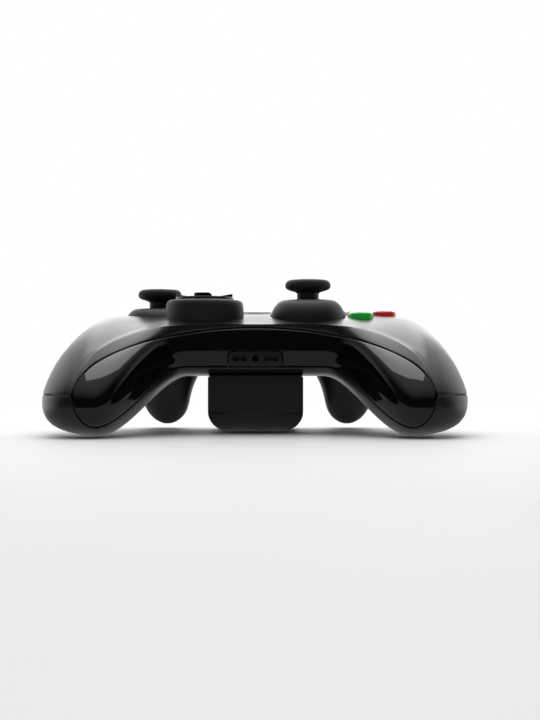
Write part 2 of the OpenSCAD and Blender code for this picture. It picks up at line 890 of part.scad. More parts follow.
module band(xs, gap_a) {
    lo = [for (x = xs) -bumper_lo * bumper_a(x) + gap_a];
    hi = [for (x = xs) bumper_hi * bumper_a(x) - gap_a];
    o = rows(xs, lo, hi, 8, 0);
    skin(o, [for (r = o) [for (p = r) p - [0, bumper_t, 0]]]);
}

bumper_xs = concat([spine_half + seam], [for (x = half_xs) if (x > spine_half + 2 && x < bumper_end - 1) x],
    [bumper_end]);

module bumper() {
    difference() {
        union() {
            band(bumper_xs, 0.7);
            translate([bumper_px, bumper_py, ear_lo])
                cylinder(r = 2.6, h = ear_hi - ear_lo);
            box([bumper_px - 2, bumper_py, ear_lo], [bumper_px + 2, bumper_py + 4.6, ear_hi]);
        }
        translate([bumper_px, bumper_py, 0])
            cylinder(r = 1 + run, h = deck_h);
    }
}

module right_bumper() {
    color(gloss)
        bumper();
}

module left_bumper() {
    color(gloss)
        mirror([1, 0, 0])
            bumper();
}

pair_z = (ear_lo + ear_hi) / 2 - 1;
pair_r = 2.2;

module bumper_bridge() {
    xs = concat([-spine_half], [for (x = full_xs) if (abs(x) < spine_half - 1) x], [spine_half]);
    w = bumper_px + 2.6;
    color(gloss)
        difference() {
            union() {
                band(xs, 0.7);
                for (z = [ear_lo - slip - lug_t, ear_hi + slip])
                    box([-w, bumper_py - 2.6, z], [w, bumper_py + 2.4, z + lug_t]);
                box([-spine_half + 1, bumper_py - 2.6, ear_lo - slip - 1],
                    [spine_half - 1, bumper_py + 4.6, ear_hi + slip + 1]);
            }
            both()
                translate([bumper_px, bumper_py, 0])
                    cylinder(r = 1, h = deck_h);
            translate([0, 0, pair_z]) {
                rod_y(pair_r + slip, bumper_py - 5, bumper_py + 20);
                rod_y(pair_r + 1.2, bumper_py - 5, bumper_py + 1.5);
            }
        }
}

module bumper_pins() {
    color(metal)
        both()
            translate([bumper_px, bumper_py, ear_lo - slip - lug_t])
                cylinder(r = 1, h = ear_hi - ear_lo + 2 * slip + 2 * lug_t);
}

module pairing_button() {
    color(dark)
        translate([0, 0, pair_z]) {
            rod_y(pair_r, bumper_py - 2, bumper_py + 6.6);
            rod_y(pair_r + 0.8, bumper_py - 2, bumper_py + 0.6);
        }
}

trigger_steps = 13;
trigger_sides = 20;
trigger_crown = 1.6;

// Ring round a trigger: half width, near and far edge, height
function trigger_loop(w, y0, y1, z, dx) = [for (i = [0 : trigger_sides - 1])
    let (a = 360 * i / trigger_sides)
    [trigger_x + dx + w * spow(cos(a), 0.75), (y0 + y1) / 2 + (y1 - y0) / 2 * spow(sin(a), 0.75), z]];
// Below the crown, from 0 at its widest to 1 at the tip
function trigger_ring(t) = let (w = trigger_half * pow(max(0, 1 - pow(t, 2.2)), 0.55),
    d = lerp(13, 8.4, t) * pow(1 - pow(t, 5), 0.5),
    y = lerp(trigger_near + 6.5, trigger_back - 3, pow(t, 1.4)))
    trigger_loop(w, y - d / 2, y + d / 2, lerp(trigger_top, trigger_tip, t), 1.5 * t);
// The rounded crown, from 1 at its top to 0
function trigger_dome(t) = let (k = pow(1 - t * t, 0.5))
    trigger_loop(trigger_half - 3 * (1 - k), trigger_near + 2 * t, trigger_near + 13 - 3 * (1 - k),
        trigger_top + trigger_crown * t, 0);

module trigger() {
    ts = [for (i = [1 : trigger_steps]) 0.995 * sin(90 * i / trigger_steps)];
    crown = [for (t = [0.97, 0.8, 0.5, 0]) trigger_dome(t)];
    difference() {
        union() {
            loft(concat(crown, [for (t = ts) trigger_ring(t)]));
            for (s = [-1, 1])
                translate([trigger_x, trigger_y, trigger_z]) {
                    rod_x(3, min(s * hub_in, s * hub_out), max(s * hub_in, s * hub_out));
                    box([min(s * hub_in, s * hub_out), 0, -3], [max(s * hub_in, s * hub_out), 6, 2.4]);
                }
        }
        translate([trigger_x, trigger_y, trigger_z])
            rod_x(pin_d / 2 + run, -ear_out, ear_out);
    }
}

module right_trigger() {
    color(black)
        trigger();
}

module left_trigger() {
    color(black)
        mirror([1, 0, 0])
            trigger();
}

module trigger_pins() {
    color(metal)
        both()
            translate([trigger_x, trigger_y, trigger_z])
                rod_x(pin_d / 2, -ear_out, ear_out);
}

module trigger_spring() {
    color(metal)
        translate([trigger_x, trigger_y, trigger_z])
            difference() {
                rod_x(pin_d / 2 + 1, -spring_half, spring_half);
                rod_x(pin_d / 2 + 0.1, -spring_half - 1, spring_half + 1);
            }
}

module right_trigger_spring() {
    trigger_spring();
}

module left_trigger_spring() {
    mirror([1, 0, 0])
        trigger_spring();
}

module trigger_bracket() {
    color(dark)
        difference() {
            union() {
                box([trigger_x - ear_out, board_far - 7, board_z - 1.6],
                    [trigger_x + ear_out, board_far, board_z]);
                for (x = [trigger_x - ear_out, trigger_x + hub_out + slip])
                    box([x, board_far - 2, trigger_z - 2.2],
                        [x + ear_out - hub_out - slip, trigger_y + 2.6, board_z - 1]);
            }
            translate([trigger_x, trigger_y, trigger_z])
                rod_x(pin_d / 2, -ear_out - 1, ear_out + 1);
        }
}

module right_trigger_bracket() {
    trigger_bracket();
}

module left_trigger_bracket() {
    mirror([1, 0, 0])
        trigger_bracket();
}

// Inside

board_half = grip_x - 1;
board_near = -8;
board_far = far_y - 15;
board_step_y = 9.5;
board_step_x = bridge_half + 7;

module main_board() {
    color("#1f5a35")
        translate([0, 0, board_z])
            linear_extrude(board_t)
                difference() {
                    union() {
                        translate([-board_half, board_step_y])
                            square([2 * board_half, board_far - board_step_y]);
                        translate([-board_step_x, board_near])
                            square([2 * board_step_x, board_step_y - board_near + 1]);
                    }
                    translate([-port_w / 2 - 1, board_near - 1])
                        square([port_w + 2, port_y + port_d + slip + 1 - board_near + slip]);
                    for (s = [-1, 1])
                        translate([s * back_screw[0], back_screw[1]])
                            circle(r = screw_boss_r + slip);
                }
}

// The shield stands between the direction pad's sheet and the right stick's base
shield_x0 = dpad_d / 2 + 0.5 - dpad_x;
shield_x1 = right_stick_x - carrier_w / 2 - base_wall - 1;
shield_d = 13;
shield_h = 3;
shield_y = 5.5;

module shield_can() {
    color(metal)
        translate([0, shield_y, board_top])
            box([shield_x0, -shield_d / 2, 0], [shield_x1, shield_d / 2, shield_h]);
}

// Push switches under the bumpers, midway between the screw towers and the left stick's base
switch_half = 2.2;
switch_h = 4;
switch_x = (back_screw[0] + screw_boss_r + left_stick_x - carrier_w / 2 - slip - base_wall) / 2;

module bumper_switches() {
    color(dark)
        both()
            translate([switch_x, board_far - switch_half, board_top])
                box([-switch_half, -switch_half, 0], [switch_half, switch_half, switch_h]);
}

module motor() {
    color(metal)
        translate([0, motor_y, motor_z])
            difference() {
                rod_x(motor_d / 2, motor_x, motor_x + motor_l);
                rod_x(motor_shaft_r + run, motor_x + motor_l - 3, motor_x + motor_l + 1);
            }
}

module right_motor() {
    motor();
}

module left_motor() {
    mirror([1, 0, 0])
        motor();
}

module motor_weight() {
    x0 = motor_x + motor_l;
    color("#8c8f94")
        translate([0, motor_y, motor_z]) {
            rod_x(motor_shaft_r, x0 - 2.8, x0 + 1);
            intersection() {
                rod_x(weight_r, x0 + weight_gap, x0 + weight_gap + weight_l);
                box([x0, -weight_r, -weight_r], [x0 + 10, weight_r, 1.8]);
            }
        }
}

module right_motor_weight() {
    motor_weight();
}

module left_motor_weight() {
    mirror([1, 0, 0])
        motor_weight();
}

// Battery

module pack_profile(w, h, r) {
    translate([-w / 2 + r, 0])
        square([w - 2 * r, h]);
    translate([-w / 2, r])
        square([w, h - r]);
    for (s = [-1, 1])
        translate([s * (w / 2 - r), r])
            circle(r = r);
}

module pack_solid(w, y0, y1, z0, h, r, e) {
    intersection() {
        translate([0, y1, z0])
            rotate([90, 0, 0])
                linear_extrude(y1 - y0)
                    pack_profile(w, h, r);
        translate([-w, (y0 + y1) / 2, z0])
            rotate([90, 0, 90])
                linear_extrude(2 * w)
                    pack_profile(y1 - y0, h, e);
    }
}

pack_far = pack_y + pack_l;
pack_lid = 1.2;
rail_half = 9;
rail_z = pack_wall + cell_d + 0.8;
rail_l = 11;
latch_half = 6;
latch_lo = rail_z + 1;
latch_hi = pack_top - 0.9;
latch_near = pack_far - 8.8;
latch_mid = (latch_lo + latch_hi) / 2;
spring_r = 0.8;
cell_x = pack_w / 2 - pack_wall - cell_d / 2 - 1;
cell_l = pack_l - 2 * pack_wall - 0.6;

module battery_pack() {
    color(black)
        difference() {
            union() {
                difference() {
                    pack_solid(pack_w, pack_y, pack_far, 0, pack_top, pack_r, pack_edge_r);
                    pack_solid(pack_w - 2 * pack_wall, pack_y + pack_wall, pack_far - pack_wall, pack_wall,
                        pack_top - pack_wall - pack_lid, pack_r - pack_wall, pack_edge_r - pack_wall);
                }
                box([-rail_half, pack_far - rail_l - pack_wall, rail_z],
                    [rail_half, pack_far - 0.5, pack_top]);
            }
            box([-latch_half - slip, latch_near - latch_travel - 0.5, latch_lo - slip],
                [latch_half + slip, pack_far + 1, latch_hi + slip]);
            both()
                translate([cell_x, (pack_y + pack_far) / 2, pack_wall + cell_d / 2])
                    rod_y(cell_d / 2, -cell_l / 2, cell_l / 2);
            both()
                translate([contact_at[0], contact_at[1], pack_top - 4])
                    box([-contact_w, -contact_w, 0], [contact_w, contact_w, 5]);
        }
}

module battery_cells() {
    color("#b8a060")
        both()
            translate([cell_x, (pack_y + pack_far) / 2, pack_wall + cell_d / 2])
                rod_y(cell_d / 2, -cell_l / 2, cell_l / 2);
}

module battery_contacts() {
    color("#c9a24a")
        both()
            translate([contact_at[0], contact_at[1], pack_top - 2.5])
                box([-contact_w / 2, -contact_w / 2, 0],
                    [contact_w / 2, contact_w / 2, board_z - pack_top + 2.5]);
}

module battery_latch() {
    color(dark)
        difference() {
            box([-latch_half, latch_near, latch_lo], [latch_half, pack_far + 0.5, latch_hi]);
            translate([0, 0, latch_mid])
                rod_y(spring_r + 0.2, latch_near - 1, latch_near + 5);
        }
}

module latch_spring() {
    color(metal)
        translate([0, 0, latch_mid])
            rod_y(spring_r, latch_near - latch_travel - 0.5, latch_near + 3);
}

module screw(p) {
    translate([p[0], p[1], head_z(p)]) {
        translate([0, 0, -screw_head_h])
            difference() {
                cylinder(r = screw_head_r, h = screw_head_h);
                translate([-screw_head_r, -0.4, -1])
                    cube([2 * screw_head_r, 0.8, 1.7]);
            }
        translate([0, 0, -eps])
            cylinder(r = screw_r, h = screw_l);
    }
}

module shell_screws() {
    color(metal)
        both() {
            screw(grip_screw);
            screw(back_screw);
        }
}

top_shell();
bottom_shell();
front_panel();
port_block();
left_stick_collar();
right_stick_collar();
dpad_housing();
dpad();
dpad_carrier();
dpad_pad();
green_button();
red_button();
blue_button();
yellow_button();
face_button_pad();
home_button();
light_ring();
back_button();
start_button();
menu_pad();
left_bumper();
right_bumper();
bumper_bridge();
bumper_pins();
pairing_button();
left_trigger();
right_trigger();
trigger_pins();
left_trigger_spring();
right_trigger_spring();
left_trigger_bracket();
right_trigger_bracket();
main_board();
shield_can();
left_stick_base();
left_stick_carrier();
left_stick_yoke();
left_stick_shaft();
left_stick_cap();
right_stick_base();
right_stick_carrier();
right_stick_yoke();
right_stick_shaft();
right_stick_cap();
bumper_switches();
left_motor();
right_motor();
left_motor_weight();
right_motor_weight();
battery_pack();
battery_cells();
battery_contacts();
battery_latch();
latch_spring();
shell_screws();
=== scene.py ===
from math import asin, atan2, cos, degrees, pi, radians, sin, sqrt

import bmesh
import bpy
from mathutils import Matrix, Vector


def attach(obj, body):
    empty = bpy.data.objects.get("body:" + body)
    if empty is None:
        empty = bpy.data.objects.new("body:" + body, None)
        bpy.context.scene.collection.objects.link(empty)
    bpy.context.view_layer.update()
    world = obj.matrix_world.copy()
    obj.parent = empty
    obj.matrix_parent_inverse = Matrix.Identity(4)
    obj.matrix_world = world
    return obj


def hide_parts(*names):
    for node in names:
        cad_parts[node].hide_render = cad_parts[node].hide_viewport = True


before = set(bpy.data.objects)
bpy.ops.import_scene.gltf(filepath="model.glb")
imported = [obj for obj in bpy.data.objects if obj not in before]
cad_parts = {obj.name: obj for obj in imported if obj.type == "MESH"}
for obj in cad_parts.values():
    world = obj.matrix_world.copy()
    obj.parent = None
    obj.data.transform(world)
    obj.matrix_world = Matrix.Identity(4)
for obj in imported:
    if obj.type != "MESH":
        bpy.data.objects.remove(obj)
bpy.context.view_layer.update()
scene = bpy.context.scene

# Metres in a millimetre: the pieces are drawn in millimetres, as the CAD source is
MM = 0.001

# The case, from the same sizes as its solids
BODY_W = 154.0
HALF_W = BODY_W / 2
BRIDGE_HALF = BODY_W * 0.169
GRIP_X = BODY_W * 0.357
TIP_L = HALF_W - GRIP_X
DECK_H, BELLY_H = 46.0, 22.0
BRIDGE_D, BRIDGE_Y = 65.0, 13.5
GRIP_D, GRIP_Y, GRIP_Z, GRIP_T = 89.0, -7.5, 23.0, 36.0
BRIDGE_RAKE, GRIP_RAKE = 1.0, 12.5
BRIDGE_N, GRIP_N = 4.0, 2.2
TIP_Z, TIP_SWEEP, TIP_P, TIP_Q = 15.0, 12.5, 1.9, 0.52
TIP_END = HALF_W - 0.13
WALL, SEAM = 2.0, 0.3
# Half of the seam at the far edge, as an angle of the section
SEAM_A = 0.5
PANEL_HALF = BODY_W * 0.4026
PANEL_LOW_X = BODY_W * 0.352
PANEL_RISE, LIP_H, PANEL_T = 24.6, 3.2, 1.8
PANEL_END = PANEL_HALF - 0.25
BUMPER_HI, BUMPER_LO, BUMPER_TAPER = 15.0, 8.0, 8.0
BUMPER_END = BODY_W * 0.37
BUMPER_OPEN, BUMPER_T, SPINE_HALF = 12.0, 1.6, 13.0
PORT_W, PORT_H, PORT_D = 20.0, 5.6, 10.0
# The sharp crease above the panel: its height over the seam, in the middle and out on the grips
CREASE_LOW, CREASE_HIGH, CREASE_REACH = 0.8, 5.2, 9.0
# How bluntly that height dies away at the panel's ends
CREASE_FADE = 0.6
# How far the crease stands out, in the middle and out on the grips
CREASE_LIFT, CREASE_LIFT_GRIP = 0.4, 1.2
# Behind the crease the deck slopes evenly: how far, how round, and the share of this that the grips keep
SLOPE_REACH, SLOPE_POWER, SLOPE_GRIP = 25.0, 1.3, 0.25
# Distance from the middle up to which the slope is whole, and over which it then fades
SLOPE_WHOLE, SLOPE_FADE = 20.0, 25.0
# Radius of the moulded edges along the seams: shells, panel and bumpers
EDGE_R, PANEL_EDGE_R, BUMPER_EDGE_R = 0.45, 0.7, 0.8

# Play round fixed and round moving pieces, and the heights between which the deck is cut through
FIT, SLIP = 0.1, 0.3
HOLE_LOW, HOLE_HIGH = 25, 70

# Places on the deck
LEFT_STICK = (-BODY_W * 0.2545, 24.7, 36.5)
RIGHT_STICK = (BODY_W * 0.13, 1.5, 38.5)
COLLAR_R = 14.5
DPAD = (-BODY_W * 0.128, 0.5)
DPAD_R, DPAD_HOUSING_R = 11.5, 15.0
FACE_X, FACE_Y, FACE_PITCH, FACE_R, FACE_RISE = BODY_W * 0.266, 20.0, 10.0, 5.0, 2.4
FACE_BUTTONS = {
    "green_button": (FACE_X, FACE_Y - FACE_PITCH),
    "red_button": (FACE_X + FACE_PITCH, FACE_Y),
    "blue_button": (FACE_X - FACE_PITCH, FACE_Y),
    "yellow_button": (FACE_X, FACE_Y + FACE_PITCH),
}
MENU_Y, HOME_R, RING_W, MENU_X, MENU_R = 23.0, 7.0, 2.0, 16.5, 3.0
TRIGGER_X, TRIGGER_HALF = BODY_W * 0.2435, 15.0
TRIGGER_NEAR, TRIGGER_BACK, TRIGGER_TOP, TRIGGER_TIP = 39.0, 50.0, 28.2, 1.6
TRIGGER_CROWN = 1.6
# Share by which a trigger draws in on its inner side, halfway down
TRIGGER_PINCH = 0.24
GRIP_SCREW, BACK_SCREW = (66.0, -24.0), (16.0, 33.0)
# Screw recesses: radius of the head, depth in the shell, and how far the cut starts below it
SCREW_HEAD_R, SCREW_DEPTH, SCREW_BELOW = 2.8, 4.0, 8.0


def lerp(a, b, t):
    return a + (b - a) * t


def ease(t):
    u = min(1.0, max(0.0, t))
    return u * u * (3 - 2 * u)


def spow(v, p):
    return (1 if v >= 0 else -1) * abs(v) ** p


def section(x):
    """The case's section at x: middle, half depth, middle height, half height, slope, squareness, fullness."""
    g = ease((abs(x) - BRIDGE_HALF) / (GRIP_X - BRIDGE_HALF))
    o = max(0.0, (abs(x) - GRIP_X) / TIP_L)
    return (
        lerp(BRIDGE_Y, GRIP_Y, g) - TIP_SWEEP * o * o,
        lerp(BRIDGE_D, GRIP_D, g) / 2,
        lerp((DECK_H + BELLY_H) / 2, GRIP_Z, g) + (TIP_Z - GRIP_Z) * o * o,
        lerp(DECK_H - BELLY_H, GRIP_T, g) / 2,
        lerp(BRIDGE_RAKE, GRIP_RAKE, g),
        lerp(BRIDGE_N, GRIP_N, g),
        max(0.0, 1 - min(1.0, o) ** TIP_P) ** TIP_Q,
    )


def skin_pt(x, a, t=0.0):
    """Point on the case at x, at angle a round its section, set in by t."""
    yc, ry, zc, rz, rake, n, full = section(x)
    q = 2 / n
    c, s = spow(cos(radians(a)), q), spow(sin(radians(a)), q)
    far = max(0.0, abs(x) - GRIP_X)
    side = 1 if x >= 0 else -1
    return Vector((
        side * (abs(x) - far * t / TIP_L),
        yc + (ry - t) * full * c,
        zc + (rz - t) * full * s + rake * full * c,
    ))


def low_a(x):
    """Angle of the section's lowest point."""
    s = section(x)
    p = s[5] / (2 * (s[5] - 1))
    return 180 + degrees(atan2(s[3] ** p, s[4] ** p))


def front_a(x, z):
    """Angle at which the player's side of the section has height z."""
    hi = low_a(x)
    lo = hi - 180
    for _ in range(24):
        mid = (lo + hi) / 2
        if skin_pt(x, mid).z > z:
            lo = mid
        else:
            hi = mid
    return (lo + hi) / 2


def deck_z(x, y):
    """Height of the deck at a point."""
    yc, ry, zc, rz, rake, n, full = section(x)
    c = min(1.0, abs(y - yc) / (ry * full))
    return zc + rake * (y - yc) / ry + rz * full * (1 - c ** n) ** (1 / n)


def round_off(v):
    return sqrt(max(0.0, 1 - v * v))


def upper_z(x):
    return TIP_Z + PANEL_RISE * round_off(min(1.0, abs(x) / PANEL_HALF))


def low_z(x):
    return skin_pt(x, low_a(x)).z


PANEL_LOW_Z = low_z(PANEL_LOW_X) + LIP_H


def lower_z(x):
    if abs(x) >= PANEL_HALF:
        return TIP_Z
    if abs(x) > PANEL_LOW_X:
        return TIP_Z - (TIP_Z - PANEL_LOW_Z) * round_off((abs(x) - PANEL_LOW_X) / (PANEL_HALF - PANEL_LOW_X))
    return low_z(x) + LIP_H


def bumper_a(x):
    return 1 - ease((abs(x) - BUMPER_END + BUMPER_TAPER) / (BUMPER_TAPER + 2))


def crease_z(x):
    """Height of the crease over the panel; it dies away at the panel's ends."""
    rise = lerp(CREASE_LOW, CREASE_HIGH, ease(abs(x) / GRIP_X))
    return upper_z(x) + rise * round_off(min(1.0, abs(x) / PANEL_HALF)) ** CREASE_FADE


def crease_lift(x):
    lift = lerp(CREASE_LIFT, CREASE_LIFT_GRIP, ease(abs(x) / GRIP_X))
    return lift * (1 - ease((abs(x) - GRIP_X) / (PANEL_HALF - GRIP_X)))


# How the meshes are made

SMOOTH_ANGLE, RECAST_ANGLE = 35.0, 30.0


def made(name, bm, smooth_angle=SMOOTH_ANGLE):
    """Object from a bmesh that is drawn in millimetres, smooth but for edges sharper than the angle."""
    bmesh.ops.scale(bm, vec=(MM, MM, MM), verts=bm.verts)
    mesh = bpy.data.meshes.new(name)
    bm.to_mesh(mesh)
    bm.free()
    mesh.shade_smooth()
    mesh.set_sharp_from_angle(angle=radians(smooth_angle))
    obj = bpy.data.objects.new(name, mesh)
    scene.collection.objects.link(obj)
    return obj


def laid_grid(bm, us, vs, place):
    """Grid of len(us) by len(vs) points, each put where place(u, v) says."""
    nu, nv = len(us) - 1, len(vs) - 1
    verts = bmesh.ops.create_grid(bm, x_segments=nu, y_segments=nv, size=1.0)["verts"]
    for v in verts:
        i, j = round((v.co.x + 1) / 2 * nu), round((v.co.y + 1) / 2 * nv)
        v.co = place(us[i], vs[j])


def walled(bm, us, vs, outer, inner, close=0.01):
    """Closed wall: a grid over the outer side and back along the inner one, filled at its ends."""
    loop = [(outer, v) for v in vs] + [(inner, v) for v in reversed(vs)] + [(outer, vs[0])]
    laid_grid(bm, us, loop, lambda u, step: step[0](u, step[1]))
    bmesh.ops.remove_doubles(bm, verts=bm.verts, dist=close)
    bmesh.ops.holes_fill(bm, edges=[e for e in bm.edges if e.is_boundary], sides=0)
    bmesh.ops.recalc_face_normals(bm, faces=bm.faces)


def turned(bm, profile, at=(0.0, 0.0), steps=96):
    """Shape turned round an upright axis from a profile of (radius, height) points."""
    verts = [bm.verts.new((at[0] + r, at[1], z)) for r, z in profile]
    edges = [bm.edges.new(pair) for pair in zip(verts, verts[1:])]
    bmesh.ops.spin(bm, geom=verts + edges, cent=(at[0], at[1], 0), axis=(0, 0, 1), angle=2 * pi,
                   steps=steps, use_merge=True)
    bmesh.ops.remove_doubles(bm, verts=bm.verts, dist=0.002)
    bmesh.ops.recalc_face_normals(bm, faces=bm.faces)


def rod(bm, r, start, end, segments=64):
    """Round bar between two points."""
    a, b = Vector(start), Vector(end)
    turn = (b - a).to_track_quat("Z", "Y").to_matrix().to_4x4()
    bmesh.ops.create_cone(bm, cap_ends=True, segments=segments, radius1=r, radius2=r, depth=(b - a).length,
                          matrix=Matrix.Translation((a + b) / 2) @ turn)


def block(bm, lo, hi):
    """Box between two corners."""
    lo, hi = Vector(lo), Vector(hi)
    size = hi - lo
    place = Matrix.Translation((lo + hi) / 2) @ Matrix.Diagonal((size.x, size.y, size.z, 1))
    bmesh.ops.create_cube(bm, size=1.0, matrix=place)


def eased(bm, edges, r, segments=3):
    """Rounds edges."""
    bmesh.ops.bevel(bm, geom=list(edges), offset=r, offset_type="OFFSET", affect="EDGES", segments=segments,
                    profile=0.5, material=-1, clamp_overlap=True)


def cut(obj, cutter_bm):
    """Takes the cutter's shape out of a piece."""
    cutter = made(obj.name + "_cutter", cutter_bm)
    op = obj.modifiers.new("cut", "BOOLEAN")
    op.operation, op.object, op.solver = "DIFFERENCE", cutter, "EXACT"
    graph = bpy.context.evaluated_depsgraph_get()
    mesh = bpy.data.meshes.new_from_object(obj.evaluated_get(graph))
    obj.modifiers.clear()
    obj.data = mesh
    mesh.name = obj.name
    bpy.data.objects.remove(cutter)
    mesh.shade_smooth()
    mesh.set_sharp_from_angle(angle=radians(SMOOTH_ANGLE))


def fitted(obj, material, body, slot_name, *nodes):
    """Gives a piece its finish and the body that carries it, and hides the solids that it stands for."""
    obj.data.materials.clear()
    obj.data.materials.append(material)
    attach(obj, body)
    if nodes:
        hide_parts(*nodes)
    return obj


# Finishes

def linear(hex_colour):
    """sRGB hex colour as linear RGBA."""
    parts = [int(hex_colour[i:i + 2], 16) / 255 for i in (1, 3, 5)]
    return tuple(p / 12.92 if p <= 0.04045 else ((p + 0.055) / 1.055) ** 2.4 for p in parts) + (1.0,)


def add(tree, kind, inputs=None, **settings):
    """Adds a node with its settings; an input is a value or another node's output."""
    node = tree.nodes.new(kind)
    for key, value in settings.items():
        setattr(node, key, value)
    for key, value in (inputs or {}).items():
        if isinstance(value, bpy.types.NodeSocket):
            tree.links.new(value, node.inputs[key])
        else:
            node.inputs[key].default_value = value
    return node


# The part of a noise's range over which a finish drifts from one value to the other
DRIFT = (0.3, 0.7)


def finish(name, colours, mottle_mm, roughs, grain_mm, grain_depth_mm, stretch=(1.0, 1.0, 1.0), **shader):
    """Surface whose colour and roughness drift over mottle_mm, with a grain of that size and depth."""
    material = bpy.data.materials.new(name)
    material.use_nodes = True
    tree = material.node_tree
    tree.nodes.clear()
    where = add(tree, "ShaderNodeTexCoord").outputs["Object"]
    turned_to = add(tree, "ShaderNodeMapping", {"Vector": where, "Scale": stretch}).outputs["Vector"]
    drift = add(tree, "ShaderNodeTexNoise",
                {"Vector": turned_to, "Scale": 1 / (mottle_mm * MM), "Detail": 4.0}).outputs["Fac"]
    ramp = add(tree, "ShaderNodeValToRGB", {"Fac": drift})
    for element, at, colour in zip(ramp.color_ramp.elements, DRIFT, colours):
        element.position, element.color = at, linear(colour)
    rough = add(tree, "ShaderNodeMapRange", {
        "Value": drift, "From Min": DRIFT[0], "From Max": DRIFT[1], "To Min": roughs[0], "To Max": roughs[1]})
    grain = add(tree, "ShaderNodeTexNoise",
                {"Vector": turned_to, "Scale": 1 / (grain_mm * MM), "Detail": 2.0}).outputs["Fac"]
    bump = add(tree, "ShaderNodeBump", {"Height": grain, "Distance": grain_depth_mm * MM, "Strength": 1.0})
    surface = add(tree, "ShaderNodeBsdfPrincipled", {
        "Base Color": ramp.outputs["Color"], "Roughness": rough.outputs["Result"],
        "Normal": bump.outputs["Normal"]})
    for key, value in shader.items():
        surface.inputs[key.replace("_", " ")].default_value = value
    add(tree, "ShaderNodeOutputMaterial", {"Surface": surface.outputs["BSDF"]})
    return material


# Moulded ABS with a fine satin texture: nearly black, pale only where light grazes it
satin_abs = finish("abs_satin_moulded", ("#131314", "#19191a"), 26, (0.27, 0.36), 0.45, 0.004, IOR=1.52)
# ABS moulded in a polished tool: black mirror with faint smears and a slight orange peel
gloss_abs = finish("abs_polished_black", ("#050506", "#08080a"), 22, (0.03, 0.10), 4.0, 0.004, IOR=1.52)
# Spark-eroded ABS: the grain, drawn at 0.5 mm so that it shows, breaks the light up
grained_abs = finish("abs_grained_moulded", ("#121213", "#1a1a1b"), 14, (0.42, 0.54), 0.5, 0.018, IOR=1.52)
# Moulded rubber: dull and a little dusty
cap_rubber = finish("rubber_moulded_matt", ("#161616", "#202020"), 7, (0.58, 0.72), 0.4, 0.03, IOR=1.5)
# Cast acrylic, dyed, clear at the skin, with a painted glow in the dye's colour that stands in for light coming
# through it
DYES = {
    "green_button": ("acrylic_dyed_green_painted_glow", "green_clear", ("#12912c", "#1fb53c")),
    "red_button": ("acrylic_dyed_red_painted_glow", "red_clear", ("#a3150f", "#c4241b")),
    "blue_button": ("acrylic_dyed_blue_painted_glow", "blue_clear", ("#10389f", "#1a4fc4")),
    "yellow_button": ("acrylic_dyed_amber_painted_glow", "yellow_clear", ("#bd7f0c", "#dba21c")),
}
dyed = {}
for node_name, (title, slot_name, colours) in DYES.items():
    dyed[node_name] = finish(title, colours, 6, (0.03, 0.08), 5.0, 0.003, IOR=1.49, Transmission_Weight=0.35,
                             Coat_Weight=0.6, Coat_Roughness=0.03, Emission_Color=linear(colours[1]),
                             Emission_Strength=0.22)
# Lacquer with silver flake over ABS: satin, slightly metallic
silver_lacquer = finish("abs_silver_lacquered", ("#b3b6ba", "#c6c9cd"), 5, (0.28, 0.38), 0.3, 0.004,
                        Metallic=0.65)
# Frosted polycarbonate: milky, faintly green
frosted_ring = finish("polycarbonate_frosted", ("#c9d8c8", "#dbe6d9"), 4, (0.38, 0.5), 0.4, 0.006, IOR=1.58,
                      Transmission_Weight=0.25)
# Silicone keypad sheet: dull, pale grey
keypad_silicone = finish("silicone_moulded_grey", ("#8f8f8c", "#a2a29f"), 9, (0.55, 0.7), 0.6, 0.01,
                         IOR=1.43)
# Acetal gimbal pieces: waxy white
acetal = finish("acetal_moulded_white", ("#cfcfca", "#dcdcd8"), 8, (0.35, 0.45), 0.6, 0.006, IOR=1.48)
# Drawn spring and pin steel: fine lines along the bar
pin_steel = finish("steel_drawn_bright", ("#a7a9ad", "#bec0c4"), 5, (0.22, 0.34), 0.3, 0.006,
                   stretch=(0.15, 1.0, 1.0), Metallic=1.0)
# Zinc-plated screw steel, its colour darkened to a painted shade of its recess
screw_steel = finish("steel_zinc_plated_painted_shade", ("#5d5e61", "#77797d"), 3, (0.3, 0.42), 0.3, 0.006, Metallic=1.0)
# Tinned sheet over the radio: soft mirror with cloudy spangle
tinned_sheet = finish("steel_tinned_sheet", ("#b4b7ba", "#c9ccce"), 4, (0.25, 0.4), 1.2, 0.008, Metallic=1.0)
# Glass-epoxy board under solder mask: green, the weave just showing
board_mask = finish("epoxy_board_masked", ("#164b2b", "#1f6038"), 3, (0.3, 0.4), 0.8, 0.008, IOR=1.55)
# Cell in a printed plastic sleeve, left plain
cell_sleeve = finish("cell_sleeve_shrunk", ("#a18a4a", "#bda565"), 12, (0.25, 0.35), 2.0, 0.006, IOR=1.5)
# Gold flash on spring contacts
gold_flash = finish("brass_gold_plated", ("#c69c3c", "#dbb85c"), 3, (0.18, 0.3), 0.3, 0.004, Metallic=1.0)
# Glass-filled nylon brackets: dull black with flow marks
nylon = finish("nylon_glass_filled", ("#19191a", "#232324"), 6, (0.45, 0.6), 0.5, 0.015, IOR=1.53)


# Case

def columns(end, n, tips=0):
    """Places across the case, closer together towards the ends."""
    half = [end * sin(pi / 2 * i / n) for i in range(n + 1)]
    half += [lerp(end, TIP_END, sin(pi / 2 * i / tips)) for i in range(1, tips + 1)]
    return [-x for x in half[:0:-1]] + half


def edge_drop(gap, r=EDGE_R):
    """How far a moulded edge has rounded off at a distance from it."""
    return r * (1 - round_off(1 - gap / r)) if gap < r else 0.0


def tip_pt(x, t):
    yc, _, zc = section(x)[:3]
    return Vector(((1 if x > 0 else -1) * (TIP_END - t), yc, zc))


top_lines = {}


def top_line(x):
    if x not in top_lines:
        top_lines[x] = (BUMPER_HI * bumper_a(x) + SEAM_A, front_a(x, crease_z(x)),
                        front_a(x, upper_z(x) + SEAM / 2))
    return top_lines[x]


